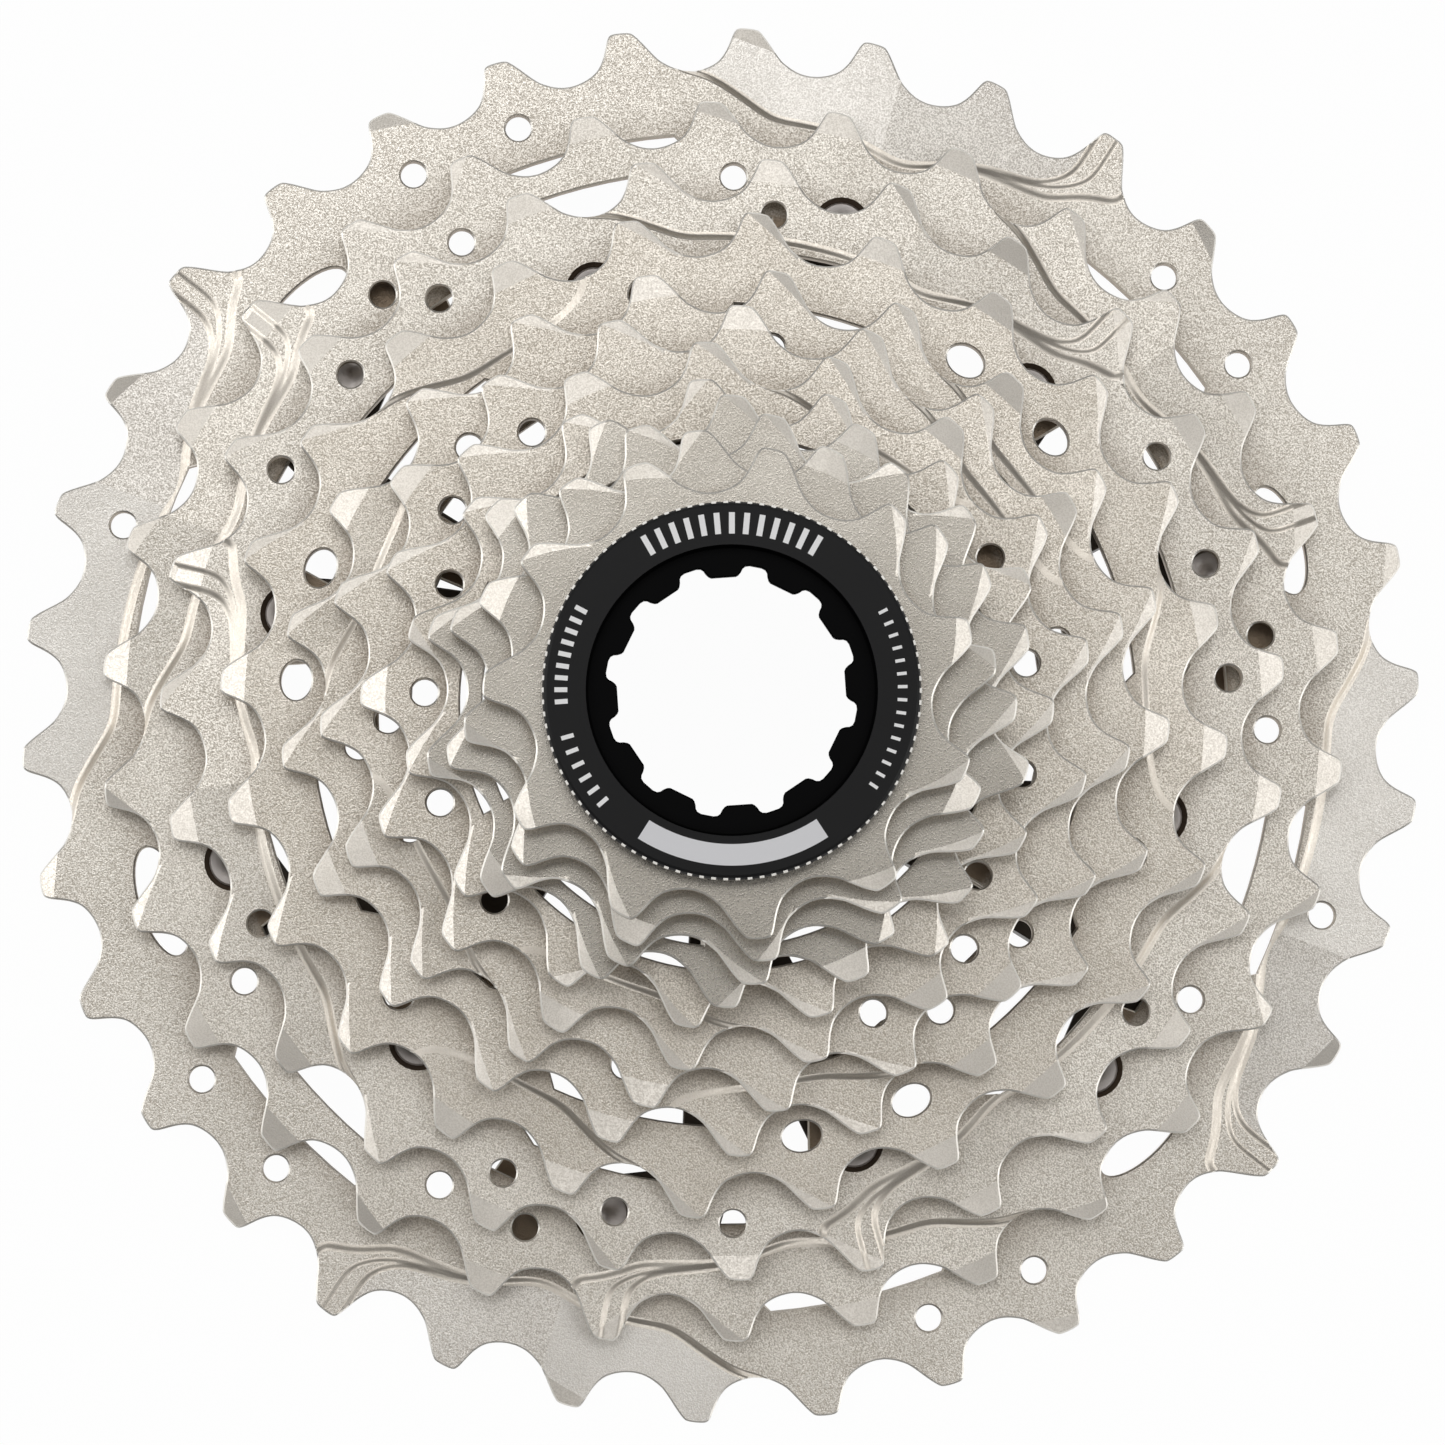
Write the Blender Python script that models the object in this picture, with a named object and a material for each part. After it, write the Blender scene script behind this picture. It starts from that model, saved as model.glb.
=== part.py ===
"""Road bicycle cassette: twelve sprockets, two spider carriers, rivets, spacers and a lockring.

Lengths are metres and angles are degrees, counter-clockwise seen from the lockring side.
The stack's axis is +Z. The back face of the largest sprocket lies on z = 0.
"""
import math

import bmesh
import bpy
from mathutils.geometry import delaunay_2d_cdt

# Chain and stack
CHAIN_PITCH = 0.0127
SPROCKET_STEP = 0.0036
PLATE = 0.0016
CLEARANCE = 0.0003

# The sprockets in order from the back: number of teeth, and the angle of the first tooth
TOOTH_PHASE = {34: 2.9, 30: 6.8, 27: 4.6, 24: 10.9, 21: 14.2, 19: 11.5,
               17: 8.2, 15: 22.0, 14: 11.4, 13: 25.0, 12: 6.6, 11: 13.8}

# The teeth beside which a shift ramp starts, and the taller gate teeth
RAMP_TEETH = {34: (1, 9, 18, 26), 30: (5, 15, 25), 27: (8, 17, 26), 24: (1, 9, 17),
              21: (3, 10, 17), 19: (3, 12), 17: (4, 13)}
GATE_TEETH = {34: (5, 13, 22, 30), 30: (1, 11, 21), 27: (3, 12, 21)}

# One tooth, measured along the pitch circle from its centre line and up from the root circle
ROOT_DEPTH = 0.0036
TOOTH_HEIGHT = 0.0042
TIP_LEAD = 0.00135
TIP_TRAIL = 0.0006
FLANK_HEIGHT = 0.0011
FLANK_LEAD = 0.0031
FLANK_TRAIL = 0.0034
TIP_CHAMFER = 0.0005
GATE_RISE = 0.0010
RAMP_DEPTH = 0.0006
RAMP_WALL = 0.0005
RAMP_REACH = 0.0032
RAMP_LEAD = 0.42

# Lockring: its sleeve sets the size of everything round the axis
SLEEVE_RADIUS = 0.0152
SLEEVE_BORE = SLEEVE_RADIUS - 0.0024
SLEEVE_LENGTH = 0.0086
FLANGE_RADIUS = SLEEVE_RADIUS + 0.00245
FLANGE_THICKNESS = 0.0020
FLANGE_FLAT_RADIUS = SLEEVE_BORE + 0.0008
FLANGE_DISH = 0.0007
FLANGE_BEVEL = 0.0004
WASHER_RADIUS = FLANGE_RADIUS - 0.00045
WASHER_THICKNESS = 0.0006
TOOL_RADIUS = SLEEVE_BORE - 0.0010
TOOL_TOOTH_RADIUS = TOOL_RADIUS - 0.0011
TOOL_TEETH = 12
TOOL_PHASE = -11.0
TOOL_NOTCH_SHARE = 0.27
TOOL_TOOTH_SHARE = 0.38

# Splined bore, shared by the carriers and the single sprockets
KEY_RADIUS = SLEEVE_RADIUS + 0.0010
BORE_RADIUS = KEY_RADIUS + 0.0013
KEY_COUNT = 9
KEY_WIDTH = 0.0042
NARROW_KEY_WIDTH = 0.0028
BORE_PHASE = 10.0
HUB_RADIUS = BORE_RADIUS + 0.0035
SPACER_BORE = BORE_RADIUS + 0.0001
SPACER_RADIUS = SPACER_BORE + 0.0026

# Smallest sprocket, which has a shallower spline and a collar on its back
END_KEY_RADIUS = SLEEVE_RADIUS + 0.0005
END_BORE_RADIUS = END_KEY_RADIUS + 0.0006
COLLAR_RADIUS = END_BORE_RADIUS + 0.0021

# Spider carriers; each drop is from a sprocket's root circle down to its circle of rivets
ARM_COUNT = 6
ARM_STEP = 360.0 / ARM_COUNT
REAR_ARM_ANGLE = 28.0
FRONT_ARM_ANGLE = 42.5
FRONT_ARM_SWEEP = 7.0
ARM_WIDTH = 0.0052
ELBOW_DROP = 0.0045
SHOULDER_SLOPE = 0.0008
REAR_RIVET_ANGLE = 16.5
REAR_RIVET_DROP = 0.00685
FRONT_RIVET_ANGLE = 46.9
FRONT_RIVET_DROP = 0.0073
INNER_RIVET_ANGLE = 43.9
INNER_RIVET_DROP = 0.00925
RIVET_RADIUS = 0.0016
SINK_RADIUS = 0.0029
SINK_DEPTH = 0.0009
RIVET_RECESS = 0.0003
TAB_LIP = 0.0005

# Openings in the sprocket plates; each rim is what is left between an opening and the root circle
HOLE_RADIUS = 0.0013
HOLE_24_RADIUS = 0.0015
HOLE_24_WIDTH = 0.0039
HOLE_DROP_34 = 0.0026
HOLE_DROP_30 = 0.0033
HOLE_DROP_27 = 0.0013
HOLE_DROP_24 = 0.0031
HOLE_DROP_21 = 0.0032
HOLE_DROP_19 = 0.0023
HOLE_DROP_17 = 0.0019
HOLES_34 = (45.2, 34.7, 119.5, 109.0, 162.0, -134.8, -145.3, -60.5, -71.0, -18.0)
HOLES_30 = (-1.2, 8.8, 88.9)
HOLES_27 = (4.3, 17.6, 31.0, 84.3)
HOLES_24 = (100.9,)
LONG_HOLES_24 = (40.3, 55.7)
HOLE_TEETH_21 = (0, 3, 4, 7, 10, 11, 14, 17, 18)
HOLE_TEETH_19 = (0, 1, 6, 7, 9, 10, 15, 16)
HOLE_TEETH_17 = (0, 1, 7, 8, 9, 10, 15, 16)
OVAL_HEIGHT = 0.0044
OVAL_WIDTH = 0.0112
OVAL_SIDES = 10
OVAL_ANGLES = (18.0, 135.5, -44.5, -162.0)
RIM_34 = 0.0065
SHELF_34 = 0.0087
RIM_30 = 0.0026
SHELF_30 = 0.0073
RIM_27 = 0.0051
SHELF_27 = 0.0066
RIM_24 = 0.0048
SHELF_24 = 0.0075
# Inner edges of the riveted sprockets: first angle and count, then the corners of one repeat, each
# an angle and a drop from the root circle, or no drop where the edge follows a riveting tab
INNER_EDGES = {
    34: (43.2, 6, ((-8.5, RIM_34), (8.5, RIM_34), (10.5, SHELF_34), (19.0, SHELF_34),
                   (20.5, None), (39.5, None), (41.0, SHELF_34), (49.5, SHELF_34))),
    30: (104.7, 3, ((-5.2, RIM_30), (5.2, RIM_30), (7.5, SHELF_30), (23.8, SHELF_30),
                    (24.8, None), (38.8, None), (39.8, SHELF_30), (83.8, SHELF_30),
                    (84.8, None), (98.8, None), (99.8, SHELF_30), (112.5, SHELF_30))),
    27: (17.2, 6, ((-11.0, RIM_27), (11.0, RIM_27), (14.0, SHELF_27), (23.5, SHELF_27),
                   (24.5, None), (35.5, None), (36.5, SHELF_27), (46.0, SHELF_27))),
    24: (17.2, 6, ((-11.5, RIM_24), (11.5, RIM_24), (15.0, SHELF_24), (19.7, SHELF_24),
                   (20.7, None), (32.4, None), (33.4, SHELF_24), (45.0, SHELF_24)))}
RIM_21 = 0.0053
ARCH_21 = 0.0038
ARCH_HALF = 7.0
RIM_19 = 0.0046
RIM_17 = 0.0043
RIM_15 = 0.0013
RIM_14 = 0.0015
SPOKE_ANGLE = 29.0
SPOKE_WIDTH = 0.0040
WINDOW_14_HEIGHT = 0.0018

ARC_STEP = 18.0
RIVET_SIDES = 6
HOLE_SIDES = 6
ROUND_SIDES = 24
SPACER_SIDES = 18
WELD = 1e-7
SLIVER = 1e-9
SHARP_ANGLE = 25.0

# Finishes: colour, roughness and metallic value
STEEL_FINISH = ((0.62, 0.59, 0.55, 1.0), 0.42, 1.0)
BLACK_FINISH = ((0.012, 0.012, 0.013, 1.0), 0.38, 0.0)
GRAPHITE_FINISH = ((0.055, 0.052, 0.05, 1.0), 0.5, 1.0)
SILVER_FINISH = ((0.70, 0.69, 0.67, 1.0), 0.35, 1.0)


def polar(radius, degrees):
    """A point at a radius and an angle about the axis."""
    return (radius * math.cos(math.radians(degrees)), radius * math.sin(math.radians(degrees)))


def arc(radius, start, end):
    """Points along an arc, both ends included."""
    steps = max(1, math.ceil(abs(end - start) / ARC_STEP))
    return [polar(radius, start + (end - start) * i / steps) for i in range(steps + 1)]


def circle(radius, centre=(0.0, 0.0), sides=ROUND_SIDES):
    """A closed ring of points."""
    turn = 360.0 / sides
    ring = [polar(radius, turn * (i + 0.5)) for i in range(sides)]
    return [(x + centre[0], y + centre[1]) for x, y in ring]


def degrees_wide(width, radius):
    """The angle that a width takes up at a radius."""
    return math.degrees(width / radius)


def offset(loop, distance):
    """A closed loop moved to its left by a distance, so a counter-clockwise loop shrinks."""
    moved = []
    for before, here, after in zip(loop[-1:] + loop[:-1], loop, loop[1:] + loop[:1]):
        normals = []
        for a, b in ((before, here), (here, after)):
            length = math.dist(a, b)
            normals.append(((a[1] - b[1]) / length, (b[0] - a[0]) / length))
        x = normals[0][0] + normals[1][0]
        y = normals[0][1] + normals[1][1]
        scale = 2.0 * distance / (x * x + y * y)
        moved.append((here[0] + x * scale, here[1] + y * scale))
    return moved


def inside(point, loop):
    """True where a point lies inside a closed loop."""
    x, y = point
    hit = False
    for (x0, y0), (x1, y1) in zip(loop, loop[1:] + loop[:1]):
        if (y0 > y) != (y1 > y) and x < x0 + (y - y0) * (x1 - x0) / (y1 - y0):
            hit = not hit
    return hit


def reaches(point, loop):
    """True where a point lies inside a closed loop or on its edge."""
    x, y = point
    for (x0, y0), (x1, y1) in zip(loop, loop[1:] + loop[:1]):
        along = (x1 - x0) ** 2 + (y1 - y0) ** 2
        t = max(0.0, min(1.0, ((x - x0) * (x1 - x0) + (y - y0) * (y1 - y0)) / along))
        if math.dist(point, (x0 + t * (x1 - x0), y0 + t * (y1 - y0))) < 10 * WELD:
            return True
    return inside(point, loop)


def material(name, colour, roughness, metallic):
    """A plain surface with the part's colour."""
    made = bpy.data.materials.new(name)
    made.use_nodes = True
    shader = made.node_tree.nodes["Principled BSDF"]
    shader.inputs["Base Color"].default_value = colour
    shader.inputs["Roughness"].default_value = roughness
    shader.inputs["Metallic"].default_value = metallic
    return made


def net(points, edges, loops):
    """Counter-clockwise triangles that fill the outline, leave its openings and follow every edge."""
    flat, _, faces, sources, _, _ = delaunay_2d_cdt(points, edges, [], 0, WELD)
    flat = [(v.x, v.y) for v in flat]
    kept = []
    for face in faces:
        a, b, c = (flat[i] for i in face)
        centre = ((a[0] + b[0] + c[0]) / 3.0, (a[1] + b[1] + c[1]) / 3.0)
        area = (b[0] - a[0]) * (c[1] - a[1]) - (b[1] - a[1]) * (c[0] - a[0])
        if abs(area) > SLIVER and sum(inside(centre, loop) for loop in loops) % 2:
            kept.append(tuple(face) if area > 0 else tuple(reversed(face)))
    return flat, kept, sources


def chained(lines, first=0):
    """The points of closed lines, and the edges that join each to the next."""
    points = []
    edges = []
    for line in lines:
        start = first + len(points)
        points.extend(line)
        edges.extend((start + i, start + (i + 1) % len(line)) for i in range(len(line)))
    return points, edges


def solid(name, loops, front, back, front_creases, back_creases, finish, rise=0.0):
    """A plate between two height functions: its outline, its openings and each face's crease lines.

    Where back_creases is None, the back face repeats the front face's triangles.
    """
    flat, kept, _ = net(*chained(loops + front_creases), loops)
    sides = {(a, b) for face in kept for a, b in zip(face, face[1:] + face[:1])}
    rim = sorted(edge for edge in sides if (edge[1], edge[0]) not in sides)
    shape = bmesh.new()
    used = sorted({i for face in kept for i in face})
    top = {i: shape.verts.new((*flat[i], front(flat[i]) - rise)) for i in used}
    for face in kept:
        shape.faces.new([top[i] for i in face])
    if back_creases is None:
        under = kept
        low = {i: shape.verts.new((*flat[i], back(flat[i]) - rise)) for i in used}
    else:
        corners = sorted({i for edge in rim for i in edge})
        order = {i: n for n, i in enumerate(corners)}
        points, edges = chained(back_creases, len(corners))
        back_flat, under, sources = net([flat[i] for i in corners] + points,
                                        [(order[a], order[b]) for a, b in rim] + edges, loops)
        low = {}
        for n, (spot, source) in enumerate(zip(back_flat, sources)):
            low["back", n] = shape.verts.new((*spot, back(spot) - rise))
            low.update({corners[i]: low["back", n] for i in source if i < len(corners)})
        under = [tuple(("back", i) for i in face) for face in under]
    for face in under:
        shape.faces.new([low[i] for i in reversed(face)])
    for a, b in rim:
        shape.faces.new((top[b], top[a], low[a]))
        shape.faces.new((top[b], low[a], low[b]))
    return finished(name, shape, finish, rise)


def finished(name, shape, finish, rise=0.0):
    """Turn a built shape into a named piece, smooth but for its edges."""
    mesh = bpy.data.meshes.new(name)
    shape.to_mesh(mesh)
    shape.free()
    mesh.shade_smooth()
    mesh.set_sharp_from_angle(angle=math.radians(SHARP_ANGLE))
    mesh.materials.append(material(name + "_finish", *finish))
    piece = bpy.data.objects.new(name, mesh)
    piece.location.z = rise
    bpy.context.scene.collection.objects.link(piece)
    return piece


def turned(name, profile, sides, centre, finish):
    """A closed body of revolution from (radius, z) pairs that run from axis to axis."""
    shape = bmesh.new()
    rings = []
    for radius, z in profile:
        spots = circle(radius, centre, sides) if radius else [centre]
        rings.append([shape.verts.new((x, y, z)) for x, y in spots])
    for lower, upper in zip(rings, rings[1:]):
        for i in range(sides):
            a, b = lower[i % len(lower)], lower[(i + 1) % len(lower)]
            c, d = upper[(i + 1) % len(upper)], upper[i % len(upper)]
            shape.faces.new(list(dict.fromkeys((a, b, c, d))))
    bmesh.ops.recalc_face_normals(shape, faces=shape.faces)
    return finished(name, shape, finish)


def pitch_radius(teeth):
    """The circle on which the chain's rollers sit."""
    return CHAIN_PITCH / (2.0 * math.sin(math.pi / teeth))


def root_radius(teeth):
    """The bottom of the gaps between the teeth."""
    return pitch_radius(teeth) - ROOT_DEPTH


def tooth_angle(teeth, number):
    """The angle of a sprocket's tooth, counted from its first tooth."""
    return TOOTH_PHASE[teeth] + 360.0 * number / teeth


def toothed_outline(teeth):
    """The outline of a sprocket, and the crease across each tooth where its tip slopes off."""
    pitch = pitch_radius(teeth)
    gates = GATE_TEETH.get(teeth, ())
    root = root_radius(teeth)
    outline = []
    creases = []
    tips = []
    for k in range(teeth):
        middle = tooth_angle(teeth, k)
        tip = root + TOOTH_HEIGHT + (GATE_RISE if k in gates else 0.0)
        trail_flank = polar(root + FLANK_HEIGHT, middle - degrees_wide(FLANK_TRAIL, pitch))
        lead_flank = polar(root + FLANK_HEIGHT, middle + degrees_wide(FLANK_LEAD, pitch))
        tip_pair = [polar(tip, middle - degrees_wide(TIP_TRAIL, pitch)),
                    polar(tip, middle + degrees_wide(TIP_LEAD, pitch))]
        outline.append(polar(root, middle - 180.0 / teeth))
        outline.extend([trail_flank] + tip_pair + [lead_flank])
        creases.append([trail_flank, lead_flank])
        tips.extend(tip_pair)
    return outline, creases, tips


def shift_ramp(teeth, tooth):
    """The recess that lets the chain climb past a tooth: a slanted S, two and a half teeth long."""
    step = 360.0 / teeth
    root = root_radius(teeth)
    start = tooth_angle(teeth, tooth - RAMP_LEAD)
    above = TOOTH_HEIGHT + GATE_RISE
    # Each pair is teeth along the rim and height above the root circle
    run = ((0.12, above), (0.0, 0.0), (-0.22, -0.30 * RAMP_REACH), (-0.42, -0.85 * RAMP_REACH),
           (-0.90, -RAMP_REACH), (-1.40, -0.95 * RAMP_REACH), (-1.95, -0.60 * RAMP_REACH),
           (-2.10, 0.0), (-2.06, above))
    return [polar(root + rise, start + step * along) for along, rise in reversed(run)]


def splined_bore(radius, key_radius):
    """The bore that slides on a splined freehub body: inward keys, one narrower than the rest."""
    loop = []
    for k in range(KEY_COUNT):
        middle = BORE_PHASE + 360.0 * k / KEY_COUNT
        half = degrees_wide(KEY_WIDTH if k else NARROW_KEY_WIDTH, key_radius) / 2.0
        loop += [polar(radius, middle - half), polar(key_radius, middle - half),
                 polar(key_radius, middle + half), polar(radius, middle + half)]
    return loop


def inner_edge(teeth, rivet_circle):
    """An inner edge that steps out to larger radii in the gaps between its riveting tabs."""
    first, count, corners = INNER_EDGES[teeth]
    loop = []
    for middle in around(first, count):
        for (start, drop), (end, _) in zip(corners[::2], corners[1::2]):
            radius = tab_edge(rivet_circle) if drop is None else root_radius(teeth) - drop
            loop += arc(radius, middle + start, middle + end)
    return loop


def windows(outer, arch=None):
    """Lightening windows between six spokes, optionally arched higher behind the carrier's arms."""
    loops = []
    inner = root_radius(14) - RIM_14 - WINDOW_14_HEIGHT
    for k in range(ARM_COUNT):
        spoke = SPOKE_ANGLE + ARM_STEP * k
        following = spoke + ARM_STEP
        low = degrees_wide(SPOKE_WIDTH, inner) / 2.0
        high = degrees_wide(SPOKE_WIDTH, outer) / 2.0
        loop = arc(inner, following - low, spoke + low)
        if arch:
            arm = FRONT_ARM_ANGLE + ARM_STEP * k
            loop += arc(arch, arm - ARCH_HALF, arm + ARCH_HALF)
            loop += arc(outer, arm + 2.0 * ARCH_HALF, following - high)
        else:
            loop += arc(outer, spoke + high, following - high)
        loops.append(loop)
    return loops


def around(angle, count=ARM_COUNT):
    """The same angle repeated evenly about the axis."""
    return [angle + 360.0 * k / count for k in range(count)]


def spots(radius, angles):
    """Points on a circle at the given angles."""
    return [polar(radius, angle) for angle in angles]


def holes(radius, angles, size=HOLE_RADIUS):
    """Small round holes through a plate."""
    return [circle(size, centre, HOLE_SIDES) for centre in spots(radius, angles)]


def thrice(angles):
    """A set of angles repeated three times about the axis."""
    return [angle + turn for turn in (0.0, 120.0, 240.0) for angle in angles]


def tab_edge(rivet_circle):
    """The inner edge of a riveting tab, just inside its rivets' countersinks."""
    return rivet_circle - SINK_RADIUS - TAB_LIP


def arm_reach(rivet_circle):
    """The end of a carrier's arm, just outside its rivets' countersinks."""
    return rivet_circle + SINK_RADIUS + TAB_LIP


def under_teeth(teeth, numbers):
    """The angles of the numbered teeth."""
    return [tooth_angle(teeth, number) for number in numbers]


REAR_RIVET_RADIUS = root_radius(30) - REAR_RIVET_DROP
FRONT_RIVET_RADIUS = root_radius(27) - FRONT_RIVET_DROP
INNER_RIVET_RADIUS = root_radius(24) - INNER_RIVET_DROP
REAR_RIVETS = spots(REAR_RIVET_RADIUS, around(REAR_RIVET_ANGLE))
FRONT_RIVETS = spots(FRONT_RIVET_RADIUS, around(FRONT_RIVET_ANGLE))
INNER_RIVETS = spots(INNER_RIVET_RADIUS, around(INNER_RIVET_ANGLE))
RIVET_HOLE = RIVET_RADIUS + CLEARANCE


def plate_back(teeth):
    """The height of a sprocket's back face."""
    return SPROCKET_STEP * list(TOOTH_PHASE).index(teeth)


def sprocket(teeth, openings, front_rivets=(), back_rivets=(), collar=0.0):
    """One toothed plate with its openings, shift ramps and rivet countersinks."""
    base = plate_back(teeth)
    outline, creases, tips = toothed_outline(teeth)
    pockets = [shift_ramp(teeth, tooth) for tooth in RAMP_TEETH.get(teeth, ())]
    floors = [offset(pocket, RAMP_WALL) for pocket in pockets]
    front_sinks = [circle(SINK_RADIUS, centre, RIVET_SIDES) for centre in front_rivets]
    back_sinks = [circle(SINK_RADIUS, centre, RIVET_SIDES) for centre in back_rivets]
    front_holes = [circle(RIVET_HOLE, centre, RIVET_SIDES) for centre in front_rivets]
    back_holes = [circle(RIVET_HOLE, centre, RIVET_SIDES) for centre in back_rivets]
    collar_lines = [circle(COLLAR_RADIUS), circle(COLLAR_RADIUS - CLEARANCE / 2.0)] if collar else []

    def front(point):
        height = base + PLATE
        if any(math.dist(point, tip) < WELD for tip in tips):
            height -= TIP_CHAMFER
        if any(reaches(point, floor) for floor in floors):
            height = min(height, base + PLATE - RAMP_DEPTH)
        if any(reaches(point, hole) for hole in front_holes):
            height = base + PLATE - SINK_DEPTH
        return height

    def back(point):
        height = base
        if any(math.dist(point, tip) < WELD for tip in tips):
            height += TIP_CHAMFER / 2.0
        if any(reaches(point, hole) for hole in back_holes):
            height = base + SINK_DEPTH
        if collar and reaches(point, collar_lines[1]):
            height = base - collar
        return height

    return solid(f"sprocket_{teeth}t", [outline, *openings, *front_holes, *back_holes], front, back,
                 creases + pockets + floors + front_sinks, creases + back_sinks + collar_lines, STEEL_FINISH)


def rivet(name, centre, low, high):
    """A rivet with a countersunk head at each end, between two heights."""
    cone = SINK_DEPTH - RIVET_RECESS
    head = RIVET_RADIUS + (SINK_RADIUS - RIVET_HOLE) * cone / SINK_DEPTH
    profile = [(0.0, low), (head, low), (RIVET_RADIUS, low + cone),
               (RIVET_RADIUS, high - cone), (head, high), (0.0, high)]
    return turned(name, profile, RIVET_SIDES, centre, SILVER_FINISH)


def arm_outline(sides):
    """A hub circle with six arms: each side is (radius, angle) pairs, up one side and down the other."""
    loop = []
    for k in range(ARM_COUNT):
        loop += [polar(radius, angle + ARM_STEP * k) for radius, angle in sides]
        loop += arc(HUB_RADIUS, sides[-1][1] + ARM_STEP * k, sides[0][1] + ARM_STEP * (k + 1))[1:-1]
    return loop


def rear_carrier():
    """The spider that carries the two largest sprockets: straight arms with a hooked foot."""
    half_hub = degrees_wide(ARM_WIDTH, HUB_RADIUS) / 2.0
    reach = arm_reach(REAR_RIVET_RADIUS)
    elbow = REAR_RIVET_RADIUS - ELBOW_DROP
    half_elbow = degrees_wide(ARM_WIDTH, elbow) / 2.0
    foot = degrees_wide(2.0 * SINK_RADIUS, REAR_RIVET_RADIUS) / 2.0
    sides = [(HUB_RADIUS, REAR_ARM_ANGLE - half_hub),
             (elbow - ARM_WIDTH / 4.0, REAR_ARM_ANGLE - half_elbow),
             (REAR_RIVET_RADIUS - SINK_RADIUS, REAR_RIVET_ANGLE - foot),
             (reach, REAR_RIVET_ANGLE - foot),
             (reach, REAR_RIVET_ANGLE + foot),
             (REAR_RIVET_RADIUS, REAR_ARM_ANGLE + half_elbow / 2.0),
             (elbow, REAR_ARM_ANGLE + half_elbow),
             (HUB_RADIUS, REAR_ARM_ANGLE + half_hub)]
    tongue_back = PLATE + CLEARANCE
    tongue_front = plate_back(30) - CLEARANCE
    shoulder = REAR_RIVET_RADIUS - 2.0 * SINK_RADIUS
    rims = [circle(HUB_RADIUS - SHOULDER_SLOPE), circle(HUB_RADIUS),
            circle(shoulder - SHOULDER_SLOPE), circle(shoulder)]

    def front(point):
        radius = math.hypot(*point)
        if radius < HUB_RADIUS - SHOULDER_SLOPE / 2.0:
            return plate_back(27) - CLEARANCE
        waist = radius < shoulder - SHOULDER_SLOPE / 2.0
        return plate_back(30) + PLATE - CLEARANCE if waist else tongue_front

    def back(point):
        radius = math.hypot(*point)
        if radius < HUB_RADIUS - SHOULDER_SLOPE / 2.0:
            return 0.0
        return CLEARANCE if radius < shoulder - SHOULDER_SLOPE / 2.0 else tongue_back

    rivet_holes = [circle(RIVET_HOLE, centre, RIVET_SIDES) for centre in REAR_RIVETS]
    return solid("rear_carrier", [arm_outline(sides), splined_bore(BORE_RADIUS, KEY_RADIUS), *rivet_holes],
                 front, back, rims, None, GRAPHITE_FINISH)


def front_carrier():
    """The spider that carries the next two sprockets: swept arms with a stepped front."""
    half_hub = degrees_wide(ARM_WIDTH, HUB_RADIUS) / 2.0
    reach = arm_reach(FRONT_RIVET_RADIUS)
    half_tip = degrees_wide(SINK_RADIUS + TAB_LIP, reach)
    half_waist = degrees_wide(SINK_RADIUS + TAB_LIP, INNER_RIVET_RADIUS)
    sides = [(HUB_RADIUS, FRONT_ARM_ANGLE - FRONT_ARM_SWEEP - half_hub),
             (INNER_RIVET_RADIUS, INNER_RIVET_ANGLE - half_waist),
             (reach, FRONT_RIVET_ANGLE - half_tip),
             (reach, FRONT_RIVET_ANGLE + half_tip),
             (INNER_RIVET_RADIUS, INNER_RIVET_ANGLE + half_waist),
             (HUB_RADIUS, FRONT_ARM_ANGLE - FRONT_ARM_SWEEP + half_hub)]
    shoulder = tab_edge(FRONT_RIVET_RADIUS) - 2.0 * CLEARANCE
    base = plate_back(27)
    low = plate_back(30) + PLATE + CLEARANCE
    rims = [circle(HUB_RADIUS - SHOULDER_SLOPE), circle(HUB_RADIUS + SHOULDER_SLOPE),
            circle(shoulder - SHOULDER_SLOPE), circle(shoulder)]

    def front(point):
        radius = math.hypot(*point)
        if radius < HUB_RADIUS - SHOULDER_SLOPE / 2.0:
            return plate_back(21) - CLEARANCE
        waist = radius < shoulder - SHOULDER_SLOPE / 2.0
        return plate_back(24) - CLEARANCE if waist else base - CLEARANCE

    rivet_holes = [circle(RIVET_HOLE, centre, RIVET_SIDES) for centre in FRONT_RIVETS + INNER_RIVETS]
    sinks = [circle(SINK_RADIUS, centre, RIVET_SIDES) for centre in FRONT_RIVETS + INNER_RIVETS]

    def back(point):
        if any(reaches(point, hole) for hole in rivet_holes):
            return low + SINK_DEPTH
        return base if math.hypot(*point) < HUB_RADIUS + SHOULDER_SLOPE / 2.0 else low

    return solid("front_carrier", [arm_outline(sides), splined_bore(BORE_RADIUS, KEY_RADIUS), *rivet_holes],
                 front, back, rims + sinks, None, GRAPHITE_FINISH)


def ring(name, inner, outer, low, high, finish, rise=0.0):
    """A plain flat ring."""
    edges = [circle(outer, sides=SPACER_SIDES), circle(inner, sides=SPACER_SIDES)]
    return solid(name, edges, lambda point: high, lambda point: low, [], [], finish, rise)


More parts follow.
